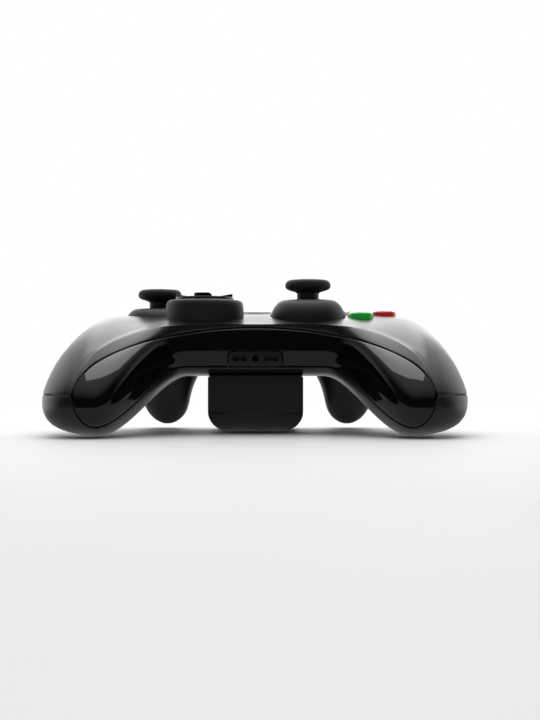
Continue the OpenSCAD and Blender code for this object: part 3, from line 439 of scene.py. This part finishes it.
def slope_drop(x, here, ridge):
    """How far the deck lies under the plain section where it slopes down to the crease."""
    reach = (here.y - ridge.y) / SLOPE_REACH
    if reach >= 1 or here.z < ridge.z:
        return 0.0
    top = deck_z(x, ridge.y + SLOPE_REACH)
    even = lerp(ridge.z, top, 1 - (1 - max(0.0, reach)) ** SLOPE_POWER)
    return lerp(1, SLOPE_GRIP, ease((abs(x) - SLOPE_WHOLE) / SLOPE_FADE)) * max(0.0, here.z - even)


def top_outer(x, v):
    if abs(x) >= TIP_END:
        return tip_pt(x, 0)
    lo, crease, hi = top_line(x)
    a = lerp(lo, crease, v) if v <= 1 else lerp(crease, hi, v - 1)
    here, ridge = skin_pt(x, a), skin_pt(x, crease)
    if v <= 1:
        lift = crease_lift(x) * max(0.0, 1 - (here - ridge).length / CREASE_REACH) ** 2
    else:
        lift = crease_lift(x) * (2 - v)
    drop = edge_drop((here - skin_pt(x, hi)).length) + edge_drop((here - skin_pt(x, lo)).length)
    return skin_pt(x, a, drop - lift) - Vector((0, 0, slope_drop(x, here, ridge) if v <= 1 else 0))


def top_inner(x, v):
    if abs(x) >= TIP_END:
        return tip_pt(x, WALL)
    lo, crease, hi = top_line(x)
    lo = lo + BUMPER_OPEN * bumper_a(x)
    if v > 1:
        return skin_pt(x, lerp(crease, hi, v - 1), WALL)
    a = lerp(lo, crease, v)
    return skin_pt(x, a, WALL) - Vector((0, 0, slope_drop(x, skin_pt(x, a), skin_pt(x, crease))))


# Rows of points across each skin, closer together at its edges
DECK_ROWS = [0, 0.002, 0.004, 0.007] + [0.012 + 0.928 * i / 52 for i in range(53)]
DECK_ROWS += [0.96, 0.975, 0.987, 0.995, 1]
BAND_ROWS = [1.2, 1.4, 1.6, 1.74, 1.84, 1.92, 1.97, 2]
case_xs = columns(PANEL_END, 46, 22)

bm = bmesh.new()
walled(bm, case_xs, DECK_ROWS + BAND_ROWS, top_outer, top_inner)
top_shell = made("top_shell_satin", bm)
bm = bmesh.new()
deck_holes = [(LEFT_STICK, COLLAR_R + FIT), (RIGHT_STICK, COLLAR_R + FIT), (DPAD, DPAD_HOUSING_R + FIT),
              ((0, MENU_Y), HOME_R + RING_W + FIT)]
deck_holes += [((x, MENU_Y), MENU_R + SLIP) for x in (MENU_X, -MENU_X)]
deck_holes += [(at, FACE_R + SLIP) for at in FACE_BUTTONS.values()]
for at, r in deck_holes:
    rod(bm, r, (at[0], at[1], HOLE_LOW), (at[0], at[1], HOLE_HIGH), segments=96)
cut(top_shell, bm)
fitted(top_shell, satin_abs, "case", "case_plastic", "top_shell")

bottom_lines = {}


def bottom_line(x):
    if x not in bottom_lines:
        bottom_lines[x] = (front_a(x, lower_z(x) - SEAM / 2), 360 - BUMPER_LO * bumper_a(x) - SEAM_A)
    return bottom_lines[x]


def bottom_outer(x, v):
    if abs(x) >= TIP_END:
        return tip_pt(x, 0)
    lo, hi = bottom_line(x)
    a = lerp(lo, hi, v)
    here = skin_pt(x, a)
    drop = edge_drop((here - skin_pt(x, hi)).length) + edge_drop((here - skin_pt(x, lo)).length)
    return skin_pt(x, a, drop)


def bottom_inner(x, v):
    if abs(x) >= TIP_END:
        return tip_pt(x, WALL)
    lo, hi = bottom_line(x)
    return skin_pt(x, lerp(lo, hi - BUMPER_OPEN * bumper_a(x), v), WALL)


BELLY_ROWS = [0, 0.002, 0.004, 0.007] + [0.012 + 0.976 * i / 56 for i in range(57)]
BELLY_ROWS += [0.993, 0.996, 0.998, 1]
bm = bmesh.new()
walled(bm, case_xs, BELLY_ROWS, bottom_outer, bottom_inner)
bottom_shell = made("bottom_shell_satin", bm)
PORT_Y = BRIDGE_Y - BRIDGE_D / 2 + 0.5
PORT_Z = low_z(0) + LIP_H + SEAM + PORT_H / 2
PORT_LO = Vector((-PORT_W / 2 - SEAM, PORT_Y - 5, PORT_Z - PORT_H / 2 - SEAM))
PORT_HI = Vector((PORT_W / 2 + SEAM, PORT_Y + PORT_D + SEAM, PORT_Z + PORT_H / 2 + SEAM))
bm = bmesh.new()
block(bm, PORT_LO, PORT_HI)
# A trigger's pull in degrees, and how far under its pin the crown's near edge swings
TRIGGER_PULL, TRIGGER_ARM = 16, 5.5
# The slot that a trigger swings in: its near edge at full pull, the room beside it, its far edge and top
TRIGGER_SLOT_Y = TRIGGER_NEAR - TRIGGER_ARM * sin(radians(TRIGGER_PULL))
SLOT_ROOM, SLOT_FAR, SLOT_TOP = 1.0, 60.0, 30.5
for side in (-1, 1):
    for at in (GRIP_SCREW, BACK_SCREW):
        x, y = side * at[0], at[1]
        yc, ry, zc, rz, rake, n, full = section(x)
        under = 2 * (zc + rake * (y - yc) / ry) - deck_z(x, y)
        rod(bm, SCREW_HEAD_R + FIT, (x, y, under - SCREW_BELOW), (x, y, under + SCREW_DEPTH))
    slot_half = TRIGGER_HALF + SLOT_ROOM
    slot_lo, slot_hi = side * TRIGGER_X - slot_half, side * TRIGGER_X + slot_half
    block(bm, (slot_lo, TRIGGER_SLOT_Y, 0), (slot_hi, SLOT_FAR, SLOT_TOP))
cut(bottom_shell, bm)
fitted(bottom_shell, satin_abs, "case", "case_plastic", "bottom_shell")

panel_lines = {}


def panel_line(x):
    if x not in panel_lines:
        panel_lines[x] = (front_a(x, upper_z(x) - SEAM / 2), front_a(x, lower_z(x) + SEAM / 2))
    return panel_lines[x]


def panel_outer(x, v):
    lo, hi = panel_line(x)
    a = lerp(lo, hi, v)
    here = skin_pt(x, a)
    drop = sum(edge_drop((here - skin_pt(x, end)).length, PANEL_EDGE_R) for end in (hi, lo))
    return skin_pt(x, a, drop)


def panel_inner(x, v):
    lo, hi = panel_line(x)
    return skin_pt(x, lerp(lo, hi, v), PANEL_T)


# Radius of the upper corners, and of the front edges, of the port insert and of its hole
PORT_CORNER, PORT_HOLE_CORNER, PORT_EDGE_R = 1.8, 2.0, 0.3


def port_corners(bm):
    """The upper edges of a block that run into the port."""
    return [e for e in bm.edges if all(v.co.z > PORT_Z for v in e.verts)
            and abs(e.verts[0].co.x - e.verts[1].co.x) < 0.1]


PANEL_ROWS = [0, 0.006, 0.014, 0.026, 0.045] + [0.08 + 0.84 * i / 24 for i in range(25)]
PANEL_ROWS += [0.955, 0.974, 0.986, 0.994, 1]
bm = bmesh.new()
walled(bm, columns(PANEL_END, 52), PANEL_ROWS, panel_outer, panel_inner)
front_panel = made("front_panel_gloss", bm)
bm = bmesh.new()
block(bm, PORT_LO, PORT_HI)
eased(bm, port_corners(bm), PORT_HOLE_CORNER, 6)
cut(front_panel, bm)
fitted(front_panel, gloss_abs, "case", "gloss_black", "front_panel")

# Port insert: a jack between two slots shaped like dumbbells
JACK_R, JACK_DEPTH = 1.25, 8.0
SLOT_X, SLOT_HALF, SLOT_R, SLOT_NECK, SLOT_DEPTH = 5.8, 1.6, 1.05, 0.55, 3.0
bm = bmesh.new()
block(bm, (-PORT_W / 2, PORT_Y, PORT_Z - PORT_H / 2), (PORT_W / 2, PORT_Y + PORT_D, PORT_Z + PORT_H / 2))
eased(bm, port_corners(bm), PORT_CORNER, 6)
eased(bm, [e for e in bm.edges if all(v.co.y < PORT_Y + 0.1 for v in e.verts)], PORT_EDGE_R, 3)
port_insert = made("port_insert", bm)
bm = bmesh.new()
rod(bm, JACK_R, (0, PORT_Y - 1, PORT_Z), (0, PORT_Y + JACK_DEPTH, PORT_Z))
cut(port_insert, bm)
for at in (-SLOT_X, SLOT_X):
    for x in (at - SLOT_HALF, at + SLOT_HALF):
        bm = bmesh.new()
        rod(bm, SLOT_R, (x, PORT_Y - 1, PORT_Z), (x, PORT_Y + SLOT_DEPTH, PORT_Z), segments=32)
        cut(port_insert, bm)
    bm = bmesh.new()
    block(bm, (at - SLOT_HALF, PORT_Y - 1, PORT_Z - SLOT_NECK),
          (at + SLOT_HALF, PORT_Y + SLOT_DEPTH, PORT_Z + SLOT_NECK))
    cut(port_insert, bm)
fitted(port_insert, grained_abs, "case", "collar_plastic", "port_block")

# Sticks

# The cap's section, from its crown round to its underside: radius, and height over the pivot
CAP_PROFILE = [(0, 19.05), (3.0, 19.1), (5.0, 19.4), (6.1, 19.8), (6.8, 20.0), (7.4, 19.95), (8.0, 19.6),
               (8.47, 19.05), (8.72, 18.35), (8.75, 17.8), (8.6, 17.2), (8.15, 16.65), (7.2, 16.2),
               (5.7, 15.75), (4.7, 15.4), (4.25, 15.0), (0, 15.0)]
# Ball under the cap, centred on the pivot, that closes the collar's hole: radius, lowest angle and wall
BALL_R, BALL_LOW, BALL_T = 14.2, 33.0, 0.9
# Stem between ball and cap: radius, top, and the taper and height of its flared foot
STEM_R, STEM_TOP, STEM_TAPER, STEM_FOOT = 4.2, 15.1, 0.15, 0.3
# Top of the collar over the pivot, how far it reaches under the deck, and its outside and inside from the top
COLLAR_TOP, COLLAR_UNDER = 12.1, 5.6
COLLAR_OUTSIDE = [(9.75, -1.3), (9.72, -0.5), (9.9, -0.15), (10.25, 0), (10.8, -0.25), (11.6, -0.85),
                  (12.4, -1.7), (13.15, -2.8), (13.8, -4.1), (14.2, -5.3), (14.42, -6.6), (14.5, -8)]
COLLAR_INSIDE = [(14.05, -9), (13.9, -8), (13.2, -6), (12.2, -4.2), (10.9, -2.6), (9.75, -1.3)]
# Height at which the ball is cut flat, level with the collar's rim
BALL_TOP = 11.9


def stick(side, pivot):
    px, py, pz = pivot
    bm = bmesh.new()
    turned(bm, [(r, pz + z) for r, z in CAP_PROFILE], (px, py))
    cap = made(side + "_stick_cap_rubber", bm, 50)
    fitted(cap, cap_rubber, side + "_stick", "cap_rubber", side + "_stick_cap")
    bm = bmesh.new()
    crown = degrees(asin(BALL_TOP / BALL_R))
    arc = [lerp(crown, BALL_LOW, i / 14) for i in range(15)]
    outer = [(BALL_R * cos(radians(a)), pz + BALL_R * sin(radians(a))) for a in arc]
    inside = BALL_R - BALL_T
    inner = [(inside * cos(radians(a)), pz + inside * sin(radians(a))) for a in reversed(arc)]
    stem = [(0, pz + STEM_TOP), (STEM_R - STEM_TAPER, pz + STEM_TOP),
            (STEM_R - STEM_TAPER, pz + BALL_TOP + STEM_FOOT), (STEM_R + STEM_TAPER, pz + BALL_TOP)]
    turned(bm, stem + outer + inner + [(0, inner[-1][1])], (px, py))
    ball = made(side + "_stick_ball", bm, 50)
    fitted(ball, grained_abs, side + "_stick", "collar_plastic")
    bm = bmesh.new()
    foot = deck_z(px, py) - COLLAR_UNDER
    wall = [(r, max(pz + COLLAR_TOP + z, foot)) for r, z in COLLAR_OUTSIDE]
    wall += [(COLLAR_OUTSIDE[-1][0], foot), (COLLAR_INSIDE[0][0], foot)]
    wall += [(r, max(pz + COLLAR_TOP + z, foot)) for r, z in COLLAR_INSIDE]
    turned(bm, wall, (px, py))
    collar = made(side + "_stick_collar_grained", bm, 50)
    fitted(collar, grained_abs, "case", "collar_plastic", side + "_stick_collar")


stick("left", LEFT_STICK)
stick("right", RIGHT_STICK)

# Direction pad

# Sections over the deck: radius and height
BORE = DPAD_R + 0.7
HOUSING_SECTION = [(BORE, -5.6), (15, -5.6), (15, 0.5), (14.9, 2.6), (14.6, 4.1), (14.2, 4.7),
                   (13.6, 5), (12.9, 5), (12.4, 4.75), (BORE, 4.2), (BORE, -5.6)]
DISH_SECTION = [(0, 4.6), (3.5, 4.65), (7, 4.95), (9.4, 5.7), (10.6, 6.25), (11.1, 6.25),
                (11.4, 5.9), (11.5, 5.0), (11.4, 3.6), (11.1, 3.2), (0, 3.2)]
pad_z = deck_z(*DPAD)
bm = bmesh.new()
turned(bm, [(r, pad_z + z) for r, z in HOUSING_SECTION], DPAD)
housing = made("dpad_housing_grained", bm, 40)
fitted(housing, grained_abs, "case", "collar_plastic", "dpad_housing")

bm = bmesh.new()
turned(bm, [(r, pad_z + z) for r, z in DISH_SECTION], DPAD)
dish = made("dpad_dish_gloss", bm, 40)
fitted(dish, gloss_abs, "dpad", "gloss_black")
bm = bmesh.new()
# The cross: half width of an arm and its reach, its foot, and the heights of its middle and of the arms' ends
ARM, REACH = 3.5, 10.9
CROSS_FOOT, CROSS_MIDDLE, CROSS_END = 4.2, 6.2, 7.5
# Radius of the arms' corners and of the upper edges, and the height above which those edges lie
CROSS_CORNER, CROSS_EDGE_R, CROSS_UPPER = 1.6, 0.55, 5.5
corners = [(REACH, -ARM), (REACH, ARM), (ARM, ARM), (ARM, REACH), (-ARM, REACH), (-ARM, ARM),
           (-REACH, ARM), (-REACH, -ARM), (-ARM, -ARM), (-ARM, -REACH), (ARM, -REACH), (ARM, -ARM)]
base = bm.faces.new([bm.verts.new((DPAD[0] + x, DPAD[1] + y, pad_z + CROSS_FOOT)) for x, y in corners])
top = bmesh.ops.extrude_face_region(bm, geom=[base])["geom"]
for v in top:
    if isinstance(v, bmesh.types.BMVert):
        away = max(abs(v.co.x - DPAD[0]), abs(v.co.y - DPAD[1]))
        v.co.z = pad_z + lerp(CROSS_MIDDLE, CROSS_END, (away - ARM) / (REACH - ARM))
bmesh.ops.recalc_face_normals(bm, faces=bm.faces)
upright = [e for e in bm.edges if abs(e.verts[0].co.z - e.verts[1].co.z) > 1
           and max(abs(e.verts[0].co.x - DPAD[0]), abs(e.verts[0].co.y - DPAD[1])) > ARM + 1]
eased(bm, upright, CROSS_CORNER, 5)
upper = [e for e in bm.edges if all(v.co.z > pad_z + CROSS_UPPER for v in e.verts)]
eased(bm, upper, CROSS_EDGE_R, 4)
cross = made("dpad_cross_gloss", bm, 40)
fitted(cross, gloss_abs, "dpad", "gloss_black", "dpad")

# Buttons

# Crowns of the buttons, as shares of their radius and of their height over the deck
DISHED = [(0, 0.86), (0.45, 0.9), (0.7, 0.97), (0.8, 1.0), (0.88, 0.96), (0.95, 0.8), (1.0, 0.55)]
DOMED = [(0, 1.0), (0.3, 0.985), (0.55, 0.94), (0.74, 0.86), (0.87, 0.74), (0.95, 0.6), (0.985, 0.48),
         (1.0, 0.35)]
# Skirt under the deck: its depth, and how far its foot slopes in and up
SKIRT, SKIRT_IN, SKIRT_UP = 4.4, 1.0, 0.2


def push(node, at, r, rise, material, slot_name, crown=DOMED):
    """Button that stands up through the deck, with a plain skirt under it."""
    z = deck_z(*at)
    profile = [(r * k, z + rise * h) for k, h in crown]
    profile += [(r, z - SKIRT + SKIRT_UP), (r - SKIRT_IN, z - SKIRT), (0, z - SKIRT)]
    bm = bmesh.new()
    turned(bm, profile, at, 72)
    piece = made(node + "_cap", bm, 60)
    fitted(piece, material, node, slot_name, node)


for node_name, at in FACE_BUTTONS.items():
    push(node_name, at, FACE_R, FACE_RISE, dyed[node_name], DYES[node_name][1])
HOME_RISE, MENU_RISE = 1.4, 1.2
push("home_button", (0, MENU_Y), HOME_R, HOME_RISE, silver_lacquer, "home_plastic", DISHED)
push("back_button", (-MENU_X, MENU_Y), MENU_R, MENU_RISE, grained_abs, "collar_plastic")
push("start_button", (MENU_X, MENU_Y), MENU_R, MENU_RISE, grained_abs, "collar_plastic")
home_z = deck_z(0, MENU_Y)
bm = bmesh.new()
ring_in, ring_out = HOME_R + SLIP, HOME_R + RING_W
RING_SECTION = [(ring_in, -2.6), (ring_out, -2.6), (ring_out, 0.05), (ring_out - 0.15, 0.35),
                (ring_out - 0.5, 0.5), (HOME_R + 0.6, 0.5), (ring_in, 0.3), (ring_in, -2.6)]
turned(bm, [(r, home_z + z) for r, z in RING_SECTION], (0, MENU_Y))
ring = made("home_light_ring", bm, 40)
fitted(ring, frosted_ring, "case", "ring_clear", "light_ring")

# Shoulders

# Gap between a bumper and the shells, as an angle of the section
BUMPER_GAP_A = 0.7


def bumper_face(x, v):
    """Point of the plain section on a bumper: v runs from its lower to its upper edge."""
    open_a = bumper_a(x)
    return skin_pt(x, lerp(-BUMPER_LO * open_a + BUMPER_GAP_A, BUMPER_HI * open_a - BUMPER_GAP_A, v))


def bumper_outer(x, v):
    here = bumper_face(x, v)
    ends = [skin_pt(x, k * bumper_a(x)) for k in (-BUMPER_LO, BUMPER_HI)]
    return here - Vector((0, sum(edge_drop((here - e).length, BUMPER_EDGE_R) for e in ends), 0))


def bumper_inner(x, v):
    return bumper_face(x, v) - Vector((0, BUMPER_T, 0))


# Ears on which the bumpers turn: place, radius, height, half width and reach
EAR_X, EAR_Y, EAR_LOW = SPINE_HALF + 3.2, BRIDGE_Y + BRIDGE_D / 2 - 6, (DECK_H + BELLY_H) / 2
EAR_R, EAR_H, EAR_HALF, EAR_REACH = 2.6, 4, 2, 4.6
BUMPER_ROWS = [0, 0.03, 0.07, 0.13, 0.2, 0.35, 0.5, 0.65, 0.8, 0.87, 0.93, 0.97, 1]
for side, sign in (("left", -1), ("right", 1)):
    bm = bmesh.new()
    start = SPINE_HALF + SEAM
    walled(bm, [sign * lerp(start, BUMPER_END, sin(pi / 2 * i / 40)) for i in range(41)], BUMPER_ROWS,
           bumper_outer, bumper_inner, 0.001)
    ear_x = sign * EAR_X
    rod(bm, EAR_R, (ear_x, EAR_Y, EAR_LOW), (ear_x, EAR_Y, EAR_LOW + EAR_H), 48)
    block(bm, (ear_x - EAR_HALF, EAR_Y, EAR_LOW), (ear_x + EAR_HALF, EAR_Y + EAR_REACH, EAR_LOW + EAR_H))
    piece = made(side + "_bumper_gloss", bm)
    fitted(piece, gloss_abs, side + "_bumper", "gloss_black", side + "_bumper")


# A trigger's depth at its widest and at the tip, and how far the tip's middle lies before its back
TRIGGER_DEEP, TIP_DEEP, TIP_BEFORE = 13, 8.4, 3
# How far the crown draws in at its sides and back, and at its near edge; how far the tip leans out
CROWN_IN, CROWN_NEAR, TIP_LEAN = 3, 2, 0.5
# Squareness of a trigger's section: 1 is an ellipse
TRIGGER_SQUARE = 0.75


def trigger_pt(t, a):
    """Point on a trigger: t runs from -1 at the crown's top, over 0 at its widest, to 1 at the tip."""
    if t < 0:
        k = sqrt(max(0.0, 1 - t * t))
        w = TRIGGER_HALF - CROWN_IN * (1 - k)
        y0, y1 = TRIGGER_NEAR - CROWN_NEAR * t, TRIGGER_NEAR + TRIGGER_DEEP - CROWN_IN * (1 - k)
        z, dx = TRIGGER_TOP - TRIGGER_CROWN * t, 0.0
    else:
        w = TRIGGER_HALF * max(0.0, 1 - t ** 2.2) ** 0.55
        d = lerp(TRIGGER_DEEP, TIP_DEEP, t) * max(0.0, 1 - t ** 5) ** 0.5
        y = lerp(TRIGGER_NEAR + TRIGGER_DEEP / 2, TRIGGER_BACK - TIP_BEFORE, t ** 1.4)
        y0, y1, z, dx = y - d / 2, y + d / 2, lerp(TRIGGER_TOP, TRIGGER_TIP, t), TIP_LEAN * t
        w *= 1 - (TRIGGER_PINCH if cos(a) < 0 else TRIGGER_PINCH / 2) * sin(pi * t) ** 1.4
    c, s = spow(cos(a), TRIGGER_SQUARE), spow(sin(a), TRIGGER_SQUARE)
    return Vector((TRIGGER_X + dx + w * c, (y0 + y1) / 2 + (y1 - y0) / 2 * s, z))


# The pin that a trigger turns on, and the hubs on it
PIN_Y, PIN_Z = 35.5, 25.5
HUB_IN, HUB_OUT, HUB_R = 4, 9.4, 3


def trigger(side, sign):
    bm = bmesh.new()
    ts = [-sin(pi / 2 * (1 - i / 8)) for i in range(8)]
    ts += [0.995 * sin(pi / 2 * i / 36) for i in range(37)]
    angles = [2 * pi * i / 64 for i in range(65)]
    laid_grid(bm, ts, angles, trigger_pt)
    bmesh.ops.remove_doubles(bm, verts=bm.verts, dist=0.01)
    bmesh.ops.holes_fill(bm, edges=[e for e in bm.edges if e.is_boundary], sides=0)
    for hub in (-1, 1):
        near, far = sorted((TRIGGER_X + hub * HUB_IN, TRIGGER_X + hub * HUB_OUT))
        rod(bm, HUB_R, (near, PIN_Y, PIN_Z), (far, PIN_Y, PIN_Z), 48)
        block(bm, (near, PIN_Y, PIN_Z - HUB_R), (far, PIN_Y + 2 * HUB_R, PIN_Z + 0.8 * HUB_R))
    if sign < 0:
        bmesh.ops.scale(bm, vec=(-1, 1, 1), verts=bm.verts)
    bmesh.ops.recalc_face_normals(bm, faces=bm.faces)
    piece = made(side + "_trigger_satin", bm, 60)
    fitted(piece, satin_abs, side + "_trigger", "case_plastic", side + "_trigger")


trigger("left", -1)
trigger("right", 1)

# Battery

def opened(mesh):
    """Editable copy of a mesh, in millimetres."""
    bm = bmesh.new()
    bm.from_mesh(mesh)
    bmesh.ops.scale(bm, vec=(1 / MM, 1 / MM, 1 / MM), verts=bm.verts)
    return bm


def recast(node, name, material, body, slot_name):
    """The solid's own mesh, its loose triangles joined and smoothed."""
    bm = opened(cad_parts[node].data)
    bmesh.ops.remove_doubles(bm, verts=bm.verts, dist=0.002)
    piece = made(name, bm, RECAST_ANGLE)
    return fitted(piece, material, body, slot_name, node)


# The pack: a land on top that closes the gap to the case, and an underside that rises a little to the front
PACK_LIFT, PACK_LIFT_BELOW = 0.9, 12.0
LAND_IN, LAND_GAP, LAND_ROOT = 0.4, 0.2, 0.5
pack = recast("battery_pack", "battery_pack_satin", grained_abs, "battery_pack", "case_plastic")
bm = opened(pack.data)
pack_lo = Vector([min(v.co[k] for v in bm.verts) for k in range(3)])
pack_hi = Vector([max(v.co[k] for v in bm.verts) for k in range(3)])
for v in bm.verts:
    forward = (pack_hi.y - v.co.y) / (pack_hi.y - pack_lo.y)
    v.co.z += PACK_LIFT * forward * max(0.0, 1 - v.co.z / PACK_LIFT_BELOW)
block(bm, (pack_lo.x + LAND_IN, pack_lo.y + LAND_IN, pack_hi.z - LAND_ROOT),
      (pack_hi.x - LAND_IN, pack_hi.y - LAND_IN, BELLY_H - LAND_GAP))
bmesh.ops.scale(bm, vec=(MM, MM, MM), verts=bm.verts)
bm.to_mesh(pack.data)
bm.free()
pack.data.shade_smooth()
pack.data.set_sharp_from_angle(angle=radians(RECAST_ANGLE))
recast("battery_latch", "battery_latch_grained", grained_abs, "battery_latch", "collar_plastic")
recast("bumper_bridge", "bumper_bridge_gloss", gloss_abs, "case", "gloss_black")
recast("pairing_button", "pairing_button_grained", grained_abs, "pairing_button", "collar_plastic")

# The solids that stay as they are, inside the case or in its recesses
KEPT = {
    "shell_screws": screw_steel, "bumper_pins": pin_steel, "trigger_pins": pin_steel,
    "left_trigger_spring": pin_steel, "right_trigger_spring": pin_steel, "latch_spring": pin_steel,
    "left_trigger_bracket": nylon, "right_trigger_bracket": nylon, "bumper_switches": nylon,
    "left_stick_base": nylon, "right_stick_base": nylon,
    "left_stick_yoke": nylon, "right_stick_yoke": nylon,
    "left_stick_carrier": acetal, "right_stick_carrier": acetal, "dpad_carrier": acetal,
    "left_stick_shaft": grained_abs, "right_stick_shaft": grained_abs,
    "dpad_pad": keypad_silicone, "face_button_pad": keypad_silicone, "menu_pad": keypad_silicone,
    "main_board": board_mask, "shield_can": tinned_sheet,
    "left_motor": tinned_sheet, "right_motor": tinned_sheet,
    "left_motor_weight": screw_steel, "right_motor_weight": screw_steel,
    "battery_cells": cell_sleeve, "battery_contacts": gold_flash,
}
for node_name, material in KEPT.items():
    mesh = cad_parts[node_name].data
    mesh.materials.clear()
    mesh.materials.append(material)

# Stage: a pale floor under a white sky, soft light from above and behind

FLOOR_SIZE = 3.0
bm = bmesh.new()
bmesh.ops.create_grid(bm, x_segments=2, y_segments=2, size=FLOOR_SIZE / MM)
floor = made("floor", bm)
# Matt white paper; far from the object it runs out into the white behind
paper = finish("paper_matt_white", ("#dfdfdf", "#e2e2e2"), 60, (0.6, 0.7), 2.0, 0.01)
# In metres: from where to where it runs out, and from where to where its far side begins
FADE_NEAR, FADE_FAR = 0.15, 0.48
FRONT, BACK = -0.06, 0.12
# White of the far floor on the player's side, and strength of the dim room that gloss mirrors there
FRONT_WHITE, ROOM_GLOW = 0.84, 0.35
tree = paper.node_tree
where = add(tree, "ShaderNodeTexCoord").outputs["Object"]
away = add(tree, "ShaderNodeVectorMath", {0: where}, operation="LENGTH").outputs["Value"]
fade = add(tree, "ShaderNodeMapRange", {"Value": away, "From Min": FADE_NEAR, "From Max": FADE_FAR},
           interpolation_type="SMOOTHSTEP").outputs["Result"]
depth = add(tree, "ShaderNodeSeparateXYZ", {0: where}).outputs["Y"]
behind = add(tree, "ShaderNodeMapRange", {"Value": depth, "From Min": FRONT, "From Max": BACK},
             interpolation_type="SMOOTHSTEP").outputs["Result"]
rays = add(tree, "ShaderNodeLightPath").outputs
seen = add(tree, "ShaderNodeMath", {0: rays["Is Camera Ray"], 1: rays["Is Transmission Ray"]},
           operation="MAXIMUM")
mirrored = add(tree, "ShaderNodeMath", {0: rays["Is Glossy Ray"], 1: behind}, operation="MULTIPLY")
seen = add(tree, "ShaderNodeMath", {0: seen.outputs[0], 1: mirrored.outputs[0]}, operation="MAXIMUM")
share = add(tree, "ShaderNodeMath", {0: seen.outputs[0], 1: fade}, operation="MULTIPLY").outputs[0]
level = add(tree, "ShaderNodeMapRange",
            {"Value": behind, "To Min": FRONT_WHITE, "To Max": 1.0}).outputs["Result"]
white = add(tree, "ShaderNodeEmission", {"Color": linear("#ffffff"), "Strength": level}).outputs[0]
end = next(n for n in tree.nodes if n.type == "OUTPUT_MATERIAL")
lit = end.inputs["Surface"].links[0].from_socket
mixed = add(tree, "ShaderNodeMixShader", {0: share, 1: lit, 2: white}).outputs[0]
# The unlit room on the player's side, as the gloss panel mirrors it
dim = add(tree, "ShaderNodeEmission", {"Color": linear("#ffffff"), "Strength": ROOM_GLOW}).outputs[0]
near = add(tree, "ShaderNodeMath", {0: 1.0, 1: behind}, operation="SUBTRACT").outputs[0]
near = add(tree, "ShaderNodeMath", {0: near, 1: rays["Is Glossy Ray"]}, operation="MULTIPLY").outputs[0]
mixed = add(tree, "ShaderNodeMixShader", {0: near, 1: mixed, 2: dim}).outputs[0]
tree.links.new(mixed, end.inputs["Surface"])
floor.data.materials.append(paper)

world = bpy.data.worlds.new("studio")
scene.world = world
world.use_nodes = True
tree = world.node_tree
tree.nodes.clear()
rays = add(tree, "ShaderNodeLightPath").outputs
seen = add(tree, "ShaderNodeMath", {0: rays["Is Camera Ray"], 1: rays["Is Transmission Ray"]},
           operation="MAXIMUM")
# White behind the object, grey above it and nearly dark on the player's side, with the directions between
SKY_FRONT, SKY_BEHIND, SKY_ABOVE = 0.03, 1.0, 0.6
SKY_Y, SKY_Z = (-0.15, 0.55), (0.35, 1.0)
towards = add(tree, "ShaderNodeSeparateXYZ", {0: add(tree, "ShaderNodeTexCoord").outputs["Generated"]}).outputs
behind = add(tree, "ShaderNodeMapRange", {
    "Value": towards["Y"], "From Min": SKY_Y[0], "From Max": SKY_Y[1], "To Min": SKY_FRONT,
    "To Max": SKY_BEHIND}, interpolation_type="SMOOTHSTEP")
above = add(tree, "ShaderNodeMapRange", {
    "Value": towards["Z"], "From Min": SKY_Z[0], "From Max": SKY_Z[1], "To Min": 0.0,
    "To Max": SKY_ABOVE}, interpolation_type="SMOOTHSTEP")
level = add(tree, "ShaderNodeMath", {0: behind.outputs[0], 1: above.outputs[0]}, operation="MAXIMUM").outputs[0]
sky = add(tree, "ShaderNodeBackground", {"Color": linear("#ffffff"), "Strength": level})
white = add(tree, "ShaderNodeBackground", {"Color": linear("#ffffff"), "Strength": 1.0})
mixed = add(tree, "ShaderNodeMixShader", {0: seen.outputs[0], 1: sky.outputs[0], 2: white.outputs[0]})
add(tree, "ShaderNodeOutputWorld", {"Surface": mixed.outputs[0]})


# What the lamps face
LAMP_AIM = Vector((0, 0, 0.02))


def softbox(name, at, size, watts):
    """Square lamp that faces the object; place and size in metres."""
    lamp = bpy.data.lights.new(name, "AREA")
    lamp.shape, lamp.size, lamp.energy = "SQUARE", size, watts
    obj = bpy.data.objects.new(name, lamp)
    obj.location = at
    obj.rotation_euler = (LAMP_AIM - Vector(at)).to_track_quat("-Z", "Y").to_euler()
    scene.collection.objects.link(obj)


softbox("lamp_above", (0.0, 0.25, 0.9), 0.9, 6.0)
softbox("lamp_behind", (0.0, 1.1, 0.5), 0.9, 4.0)

# Camera low on the player's side, as in the photograph: metres, degrees and millimetres
CAMERA_AT, CAMERA_TILT, CAMERA_LENS = (0.0054, -0.447, 0.020), 91.0, 58.2
camera = bpy.data.cameras.new("camera")
camera.lens = CAMERA_LENS
camera.sensor_width = 36.0
camera.clip_start = 0.01
camera_obj = bpy.data.objects.new("camera", camera)
camera_obj.location = CAMERA_AT
camera_obj.rotation_euler = (radians(CAMERA_TILT), 0, 0)
scene.collection.objects.link(camera_obj)
scene.camera = camera_obj

scene.view_settings.view_transform = "Standard"
